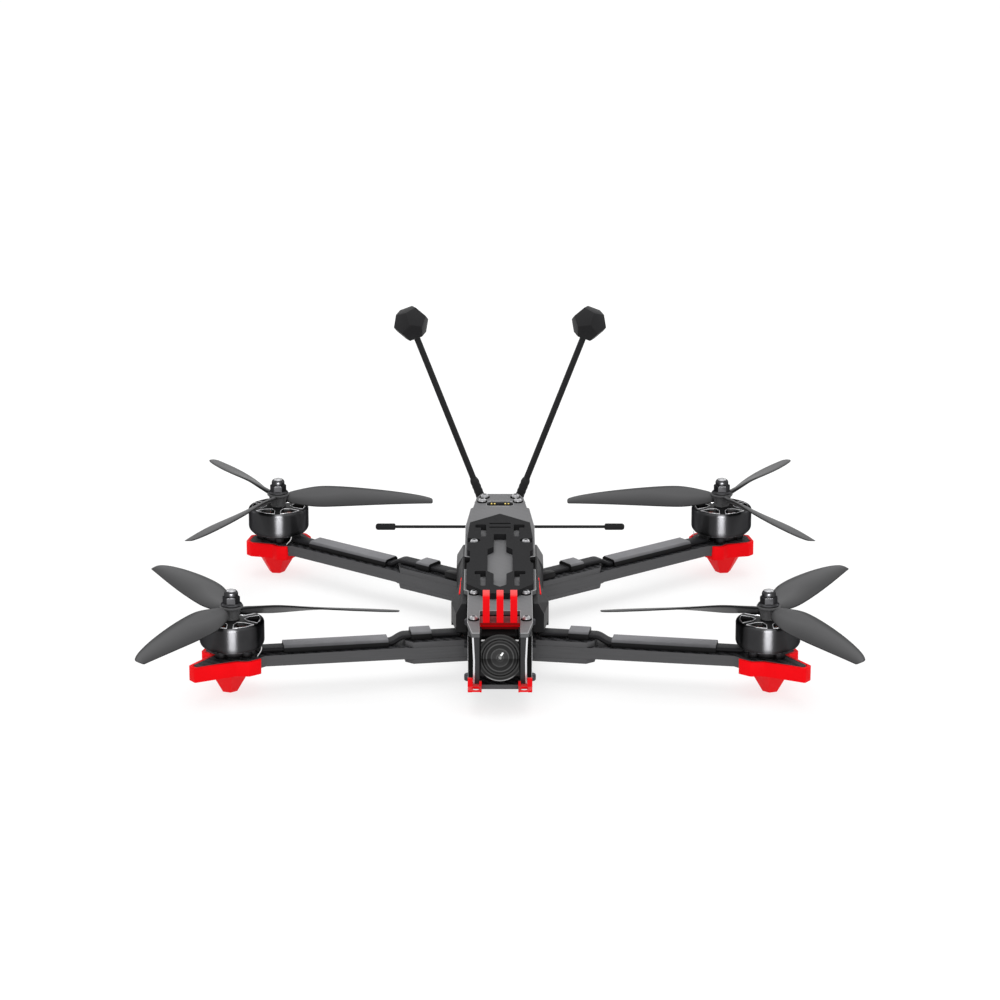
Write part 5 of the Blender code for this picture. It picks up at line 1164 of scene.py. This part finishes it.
def bumper_shape(flank):
    """Bumper with its tab tipped down, a wide hole in it and a clear way behind the hole."""
    bumper = copy_of(f"front_bumper_{flank}")
    low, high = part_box(f"front_bumper_{flank}")
    rear = low.y + BUMPER_LENGTH
    eye = Vector(((low.x + high.x - FLANKS[flank] * 0.0012) / 2, low.y + 0.0027))
    for vert in bumper.verts:
        if (vert.co.xy - eye).length < BUMPER_EYE_REACH:
            vert.co.xy = eye + BUMPER_EYE_GROWTH * (vert.co.xy - eye)
        if vert.co.y < rear and vert.co.z > low.z + 0.0010:
            share = (rear - vert.co.y) / BUMPER_LENGTH
            vert.co.z += 0.0007 - 0.0006 * share
            vert.co.y += 0.0009 * share
    way = block((eye.x - 0.0021, rear - 0.0020, low.z - 0.001),
                (eye.x + 0.0021, high.y + 0.010, low.z + 0.0024))
    return eased(cut(bumper, way), SOFT_EDGE)


def cage_slope_painted_shade(face):
    """The slanting front faces of a camera plate, apart from its chamfers, which are painted near black as
    shade.
    """
    return face.material_index == 0 and -0.9 < face.normal.y < -0.2 and abs(face.normal.x) > 0.3


def cage_shape(flank):
    """Camera plate with its front edges drawn outwards and cut bright, and its slanting front faces painted
    near black as shade.
    """
    plate = copy_of(f"camera_plate_{flank}")
    for vert in plate.verts:
        if abs(abs(vert.co.x) - CAGE_EDGE_X) < HAIR and vert.co.y < CAGE_FRONT_Y:
            shift = 0.0009 if vert.co.z > 0.040 else 0.0005 if vert.co.z < 0.020 else 0.0003
            vert.co.x += math.copysign(shift, vert.co.x)
    for x, width in CAGE_CHAMFERS:
        front = [edge for edge in sharp_edges(plate, 20)
                 if all(-HAIR < abs(vert.co.x) - x < 0.0010 and vert.co.y < CAGE_FRONT_Y
                        for vert in edge.verts)]
        plate = chamfered(plate, front, width, 1)
    return painted(plate, 2, cage_slope_painted_shade)


def dress_cage():
    for flank in FLANKS:
        stand_for(f"camera_plate_{flank}", "cut", cage_shape(flank), [cage_metal, bright_cut, hole_black],
                  "dark_alloy")
        stand_for(f"front_bumper_{flank}", "print", bumper_shape(flank), red_scuffed, "red_soft_plastic")


def dress_mount():
    """Action-camera mount: fingers on a ledge, with painted shade on the ledge's front and on its tops
    between the fingers, and a skirt below it whose deep red is painted shade.
    """
    mount = copy_of("action_camera_mount")
    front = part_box("action_camera_mount")[0].y
    bmesh.ops.bisect_plane(mount, geom=[*mount.verts, *mount.edges, *mount.faces],
                           plane_co=(0, 0, MOUNT_LEDGE), plane_no=(0, 0, 1))
    # Below the ledge, front faces get a dark red and faces that look up a dim pinkish red, both painted shade
    low = [face for face in mount.faces if face.calc_center_median().z < MOUNT_LEDGE + HAIR]
    for face in low:
        face.material_index = 1 if face.normal.y < -0.9 else 2 if face.normal.z > 0.9 else 0
    sill = [edge for edge in sharp_edges(mount) if span(edge, 2) < HAIR
            and all(vert.co.y < front + HAIR and vert.co.z < TOP_PLATE_TOP - 0.0006 for vert in edge.verts)]
    mount = chamfered(mount, sill, MOUNT_SILL, 0)
    # The skirt is a thin block whose deep red paints the shade under the ledge
    skirt = block((-0.0096, front + 0.0006, TOP_PLATE_TOP - 0.0022),
                  (0.0096, front + 0.0024, TOP_PLATE_TOP - 0.0011))
    show("mount_skirt", eased(skirt, CRISP_EDGE), red_shade, "red_soft_plastic")
    stand_for("action_camera_mount", "print", mount, [red_scuffed, red_deep, red_dusty], "red_soft_plastic")


# Side covers, tail and antennas

def cover_step_painted_light(face):
    """The faces that look up on the rear part of a side cover, which get a paler colour as a painted
    highlight.
    """
    return face.normal.z > 0.3 and face.calc_center_median().y > COVER_STEP_Y


def dress_sides():
    for flank, side in FLANKS.items():
        cover = painted(eased(copy_of(f"side_cover_{flank}"), SOFT_EDGE), 1, cover_step_painted_light)
        stand_for(f"side_cover_{flank}", "shell", cover, [side_satin, side_light], "black_plastic", smooth=12)
        path = [(side * x, y, BAY_CEILING - 0.0014) for x, y in LINER_PATH]
        show(f"side_liner_{flank}", drawn(path, LINER_RADIUS, order=2), red_print, "red_soft_plastic")
        # A thin black sheet over each strap slot paints the shade in the gap
        slot = prism([(side * x, y) for x, y in STRAP_SLOT], BAY_CEILING + 0.00002, BAY_CEILING + 0.00022)
        show(f"strap_slot_{flank}", eased(slot, 0.00005, 1), hole_black, "black_plastic")


def dress_masts():
    """The tail block and the two masts with ribbed feet and their caps."""
    tail = eased(copy_of("rear_antenna_mount"), SOFT_EDGE)
    show("rear_antenna_block", tail, black_satin, "black_plastic", "rear_antenna_mount")
    rib = MAST_FOOT_LENGTH / MAST_RIBS
    profile = [(0, 0), (MAST_FOOT_RADIUS, 0)]
    profile += [(MAST_FOOT_RADIUS - RIB_DEPTH * (i % 2), i * rib) for i in range(1, MAST_RIBS)]
    profile += [(MAST_FOOT_RADIUS - RIB_DEPTH, MAST_FOOT_LENGTH),
                (MAST_RADIUS + 0.0001, MAST_FOOT_LENGTH + 0.0012), (MAST_RADIUS, MAST_FOOT_LENGTH + 0.0013),
                (MAST_RADIUS, MAST_LENGTH), (0, MAST_LENGTH)]
    for flank, side in FLANKS.items():
        low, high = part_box(f"antenna_mast_{flank}")
        foot = Vector((low.x if side > 0 else high.x, (low.y + high.y) / 2, low.z))
        foot += MAST_FOOT_RADIUS * Vector((side * math.cos(MAST_LEAN), 0, math.sin(MAST_LEAN)))
        mast = placed(turned(profile, 32), Matrix.Translation(foot) @ rolled("Y", side * MAST_LEAN))
        stand_for(f"antenna_mast_{flank}", "sleeve", mast, antenna_black, "black_plastic")
        cap = eased(copy_of(f"antenna_cap_{flank}"), SOFT_EDGE)
        stand_for(f"antenna_cap_{flank}", "shell", cap, antenna_black, "black_plastic")


def dress_receiver_antenna():
    low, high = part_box("receiver_antenna")
    half, thick = (high.x - low.x) / 2, (high.z - low.z) / 2
    inner = half - RECEIVER_END_LENGTH
    profile = [(0, half), (0.5 * thick, half - 0.0001), (0.85 * thick, half - 0.0006), (thick, half - 0.0014),
               (thick, inner + 0.0006), (thick - 0.0005, inner), (RECEIVER_WIRE_RADIUS, inner)]
    profile += [(radius, -height) for radius, height in reversed(profile)]
    rod = placed(turned(profile, 24), Matrix.Translation((low + high) / 2) @ rolled("Y", QUARTER))
    stand_for("receiver_antenna", "rod", rod, antenna_black, "black_plastic")


# Electronics and posts

def parts_at(level, size, *places):
    """Flat parts of one size on a board, at (x, y) places from the middle of the stack."""
    x, y, z = size
    part = eased(block((-x / 2, -y / 2, 0), (x / 2, y / 2, z)), PART_EDGE, 1)
    return spots(part, *[(u, STACK_Y + v, level) for u, v in places])


def dress_stack():
    """The two boards in the middle of the bay, with their chips, plugs and solder pads."""
    for node, top in (("speed_controller", SPEED_BOARD_TOP), ("flight_controller", FLIGHT_BOARD_TOP)):
        above = block((-0.05, STACK_Y - 0.05, top), (0.05, STACK_Y + 0.05, top + 0.02))
        stand_for(node, "board", eased(cut(copy_of(node), above), CRISP_EDGE), board_black, "circuit_board")
    speed, flight = partial(parts_at, SPEED_BOARD_TOP), partial(parts_at, FLIGHT_BOARD_TOP)
    steps = [0.00245 * step for step in range(-4, 5)]
    rows = [(side * 0.0155, y) for side in (-1, 1) for y in steps]
    pads = [(side * 0.0178, y) for side in (-1, 1) for y in steps[1::2]]
    drivers = [(x, y) for x in (-0.0055, 0.0055) for y in (-0.007, 0.007)]
    details = (
        ("speed_controller_chips", chip_black, speed((0.0022, 0.0022, 0.0009), *rows),
         speed((0.0045, 0.0045, 0.0009), *drivers), speed((0.0060, 0.0042, 0.0026), (0, 0))),
        ("speed_controller_pads", gold_contact, speed((0.0020, 0.0032, 0.0002), *pads)),
        ("flight_controller_chips", chip_black, flight((0.0090, 0.0090, 0.0014), (0, 0)),
         flight((0.0050, 0.0060, 0.0016), (-0.0075, -0.0105)),
         flight((0.0030, 0.0030, 0.0009), (0.0080, -0.0100), (0.0085, 0.0095), (-0.0090, 0.0100))),
        ("flight_controller_plugs", white_mark,
         flight((0.0042, 0.0080, 0.0029), (0.0148, -0.0050), (0.0148, 0.0055), (-0.0148, 0.0060))),
        ("flight_controller_port", screw_steel, flight((0.0070, 0.0088, 0.0031), (-0.0146, -0.0050))))
    for name, look, *shapes in details:
        show(name, together(*shapes), look, "circuit_board")


def dress_radio():
    """Receiver under its shield, and the video transmitter with a finned back."""
    low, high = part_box("radio_receiver")
    middle, deck = (low.y + high.y) / 2, low.z + 0.0012
    board = block(low, (high.x, high.y, deck))
    stand_for("radio_receiver", "board", eased(board, CRISP_EDGE), board_black, "circuit_board")
    shield = block((-0.0048, middle - 0.0070, deck), (0.0048, middle + 0.0040, high.z))
    show("radio_receiver_shield", eased(shield, 0.0005), screw_steel, "circuit_board")
    plug = turned([(0, 0), (0.0014, 0), (0.0014, 0.0010), (0.0011, 0.0013), (0.0008, 0.0013),
                   (0.0008, 0.0006), (0, 0.0006)], 24, base=deck)
    show("radio_receiver_plug", spots(plug, (0, middle + 0.0065, 0)), gold_contact, "circuit_board")
    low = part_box("video_transmitter")[0]
    deck = low.z + 0.0100
    slots = [block((0.0037 * step - 0.0011, low.y - 0.001, deck - 0.0042),
                   (0.0037 * step + 0.0011, low.y + 0.0275, deck + 0.001)) for step in range(-3, 4)]
    case = eased(cut(copy_of("video_transmitter"), *slots), CRISP_EDGE)
    stand_for("video_transmitter", "case", case, bell_metal, "dark_alloy")


def dress_post(place):
    """Standoff with a long groove between its two ends."""
    low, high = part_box(f"standoff_{place}")
    radius, middle = (high.x - low.x) / 2, (low + high) / 2
    waist, end = radius - POST_GROOVE, POST_END
    post = turned([(0, low.z), (radius - 0.0002, low.z), (radius, low.z + 0.0002), (radius, low.z + end),
                   (waist, low.z + end + 0.0004), (waist, high.z - end - 0.0004), (radius, high.z - end),
                   (radius, high.z - 0.0002), (radius - 0.0002, high.z), (0, high.z)], 32)
    stand_for(f"standoff_{place}", "post", spots(post, (middle.x, middle.y, 0)), bell_metal, "dark_alloy")


def dress_capacitor():
    low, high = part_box("power_capacitor")
    radius, half = (high.z - low.z) / 2, (high.x - low.x) / 2
    can = turned([(0, -half), (radius - 0.0006, -half), (radius, -half + 0.0006), (radius, half - 0.0022),
                  (radius - 0.0004, half - 0.0017), (radius - 0.0004, half - 0.0012), (radius, half - 0.0007),
                  (radius - 0.0003, half - 0.0001), (radius - 0.0010, half), (radius - 0.0012, half - 0.0003),
                  (0, half - 0.0003)], 40)
    painted(can, 1, lambda face: face.normal.z > 0.9)
    can = placed(can, Matrix.Translation((low + high) / 2) @ rolled("Y", QUARTER))
    stand_for("power_capacitor", "can", can, [black_satin, screw_steel], "black_plastic")


def dress_contacts():
    """Head under the rear window, near black for its own dark plastic and for painted shade, with a rim
    chamfer painted pale as a highlight, and four pins.
    """
    top = TOP_PLATE_TOP - 0.0004
    outline = [*CONTACT_HEAD, *[(-x, y) for x, y in reversed(CONTACT_HEAD)]]
    head = prism(outline, CONTACT_SEAT - 0.0004, top)
    rim = [edge for edge in sharp_edges(head) if lowest(edge) > top - HAIR]
    # The pale rim chamfer is a painted highlight
    show("contact_head", chamfered(head, rim, CONTACT_CHAMFER, 1), [hole_black, plate_edge], "black_plastic")
    pin = turned([(0, -0.0004), (0.0005, -0.0004), (0.0005, 0.0006), (0.0003, 0.0008), (0, 0.0008)], 20)
    show("contact_pins", spots(pin, *[(x, CONTACT_Y, top) for x in CONTACT_X]), gold_contact, "dark_alloy")


def dress():
    dress_plates()
    bell, core, coils, nut = bell_shape(), core_shape(), coils_shape(), nut_shape()
    props = {hand: propeller_shape(hand) for hand in (-1, 1)}
    for place in PLACES:
        dress_arm(place)
        dress_lead(place)
        dress_motor(place, bell, core, coils, props, nut)
    dress_screws()
    dress_camera()
    dress_cage()
    dress_mount()
    dress_sides()
    dress_masts()
    dress_receiver_antenna()
    for place in PLACES:
        dress_post(place)
    dress_stack()
    dress_radio()
    dress_capacitor()
    dress_contacts()


# Studio

FLOOR_SIZE = 24.0
FLOOR_GLOW = 0.72
FLOOR_FILL = 0.35
WORLD_FILL = 0.85
AIM = (0, 0, 0.03)


def lay_floor():
    shape = bmesh.new()
    bmesh.ops.create_grid(shape, x_segments=1, y_segments=1, size=FLOOR_SIZE / 2)
    floor = linked("studio_floor", mesh_of(shape))
    white = Finish("floor_white", (1 - FLOOR_GLOW,) * 3, 0.9, gloss=0.0)
    white.set(Emission_Color=(1, 1, 1, 1),
              Emission_Strength=white.mix(white.seen(), FLOOR_FILL, FLOOR_GLOW, "FLOAT"))
    floor.data.materials.append(white.material)


def light_world():
    world = bpy.data.worlds.new("studio")
    scene.world = world
    world.use_nodes = True
    sky = Wiring(world.node_tree)
    strength = sky.mix(sky.seen(), WORLD_FILL, 1.0, "FLOAT")
    sky.fill(world.node_tree.nodes["Background"], {"Color": (1, 1, 1, 1), "Strength": strength})


def add_lamp(name, place, size, power, target=AIM, roll=0.0):
    data = bpy.data.lights.new(name, "AREA")
    data.shape = "RECTANGLE"
    data.size, data.size_y = size
    data.energy = power
    lamp = linked(name, data)
    lamp.location = place
    aim = (Vector(target) - Vector(place)).to_track_quat("-Z", "Y")
    lamp.rotation_euler = (aim @ Quaternion((0, 0, 1), roll)).to_euler()
    return lamp


def add_card(name, place, size, power, starts, roll=0.0):
    """Card before the object that shows only as a highlight on the pieces whose names start so."""
    lamp = add_lamp(name, place, size, power, roll=roll)
    lamp.visible_diffuse = False
    shiny = bpy.data.collections.new(f"{name}_pieces")
    for piece in scene.objects:
        if piece.name.startswith(starts):
            shiny.objects.link(piece)
    lamp.light_linking.receiver_collection = shiny


def add_camera():
    data = bpy.data.cameras.new("photo_camera")
    data.lens, data.sensor_width, data.sensor_height = 147.06, 36.0, 36.0
    data.sensor_fit = "HORIZONTAL"
    data.clip_end = 60
    camera = linked("photo_camera", data)
    camera.location = (0, -2.1398, 0.7547)
    camera.rotation_euler = (math.radians(72.37), 0, 0)
    scene.camera = camera


scene.view_settings.view_transform = "Standard"
add_camera()
dress()
lay_floor()
light_world()
add_lamp("top_softbox", (0, 0.2, 1.8), (1.6, 1.6), 14, target=(0, 0, 0))
add_lamp("front_fill", (0, -2.2, 0.62), (0.6, 0.6), 14)
add_card("metal_card", (0.02, -2.2, 0.62), (0.9, 0.4), 250, ("bell_", "prop_nut_"))
add_card("glass_card", (0.42, -2.05, 1.36), (0.9, 0.24), 90, "lens_glass", math.radians(50))
add_lamp("back_left", (-1.6, 1.2, 1.0), (0.8, 0.8), 8)
add_lamp("back_right", (1.6, 1.2, 1.0), (0.8, 0.8), 8)
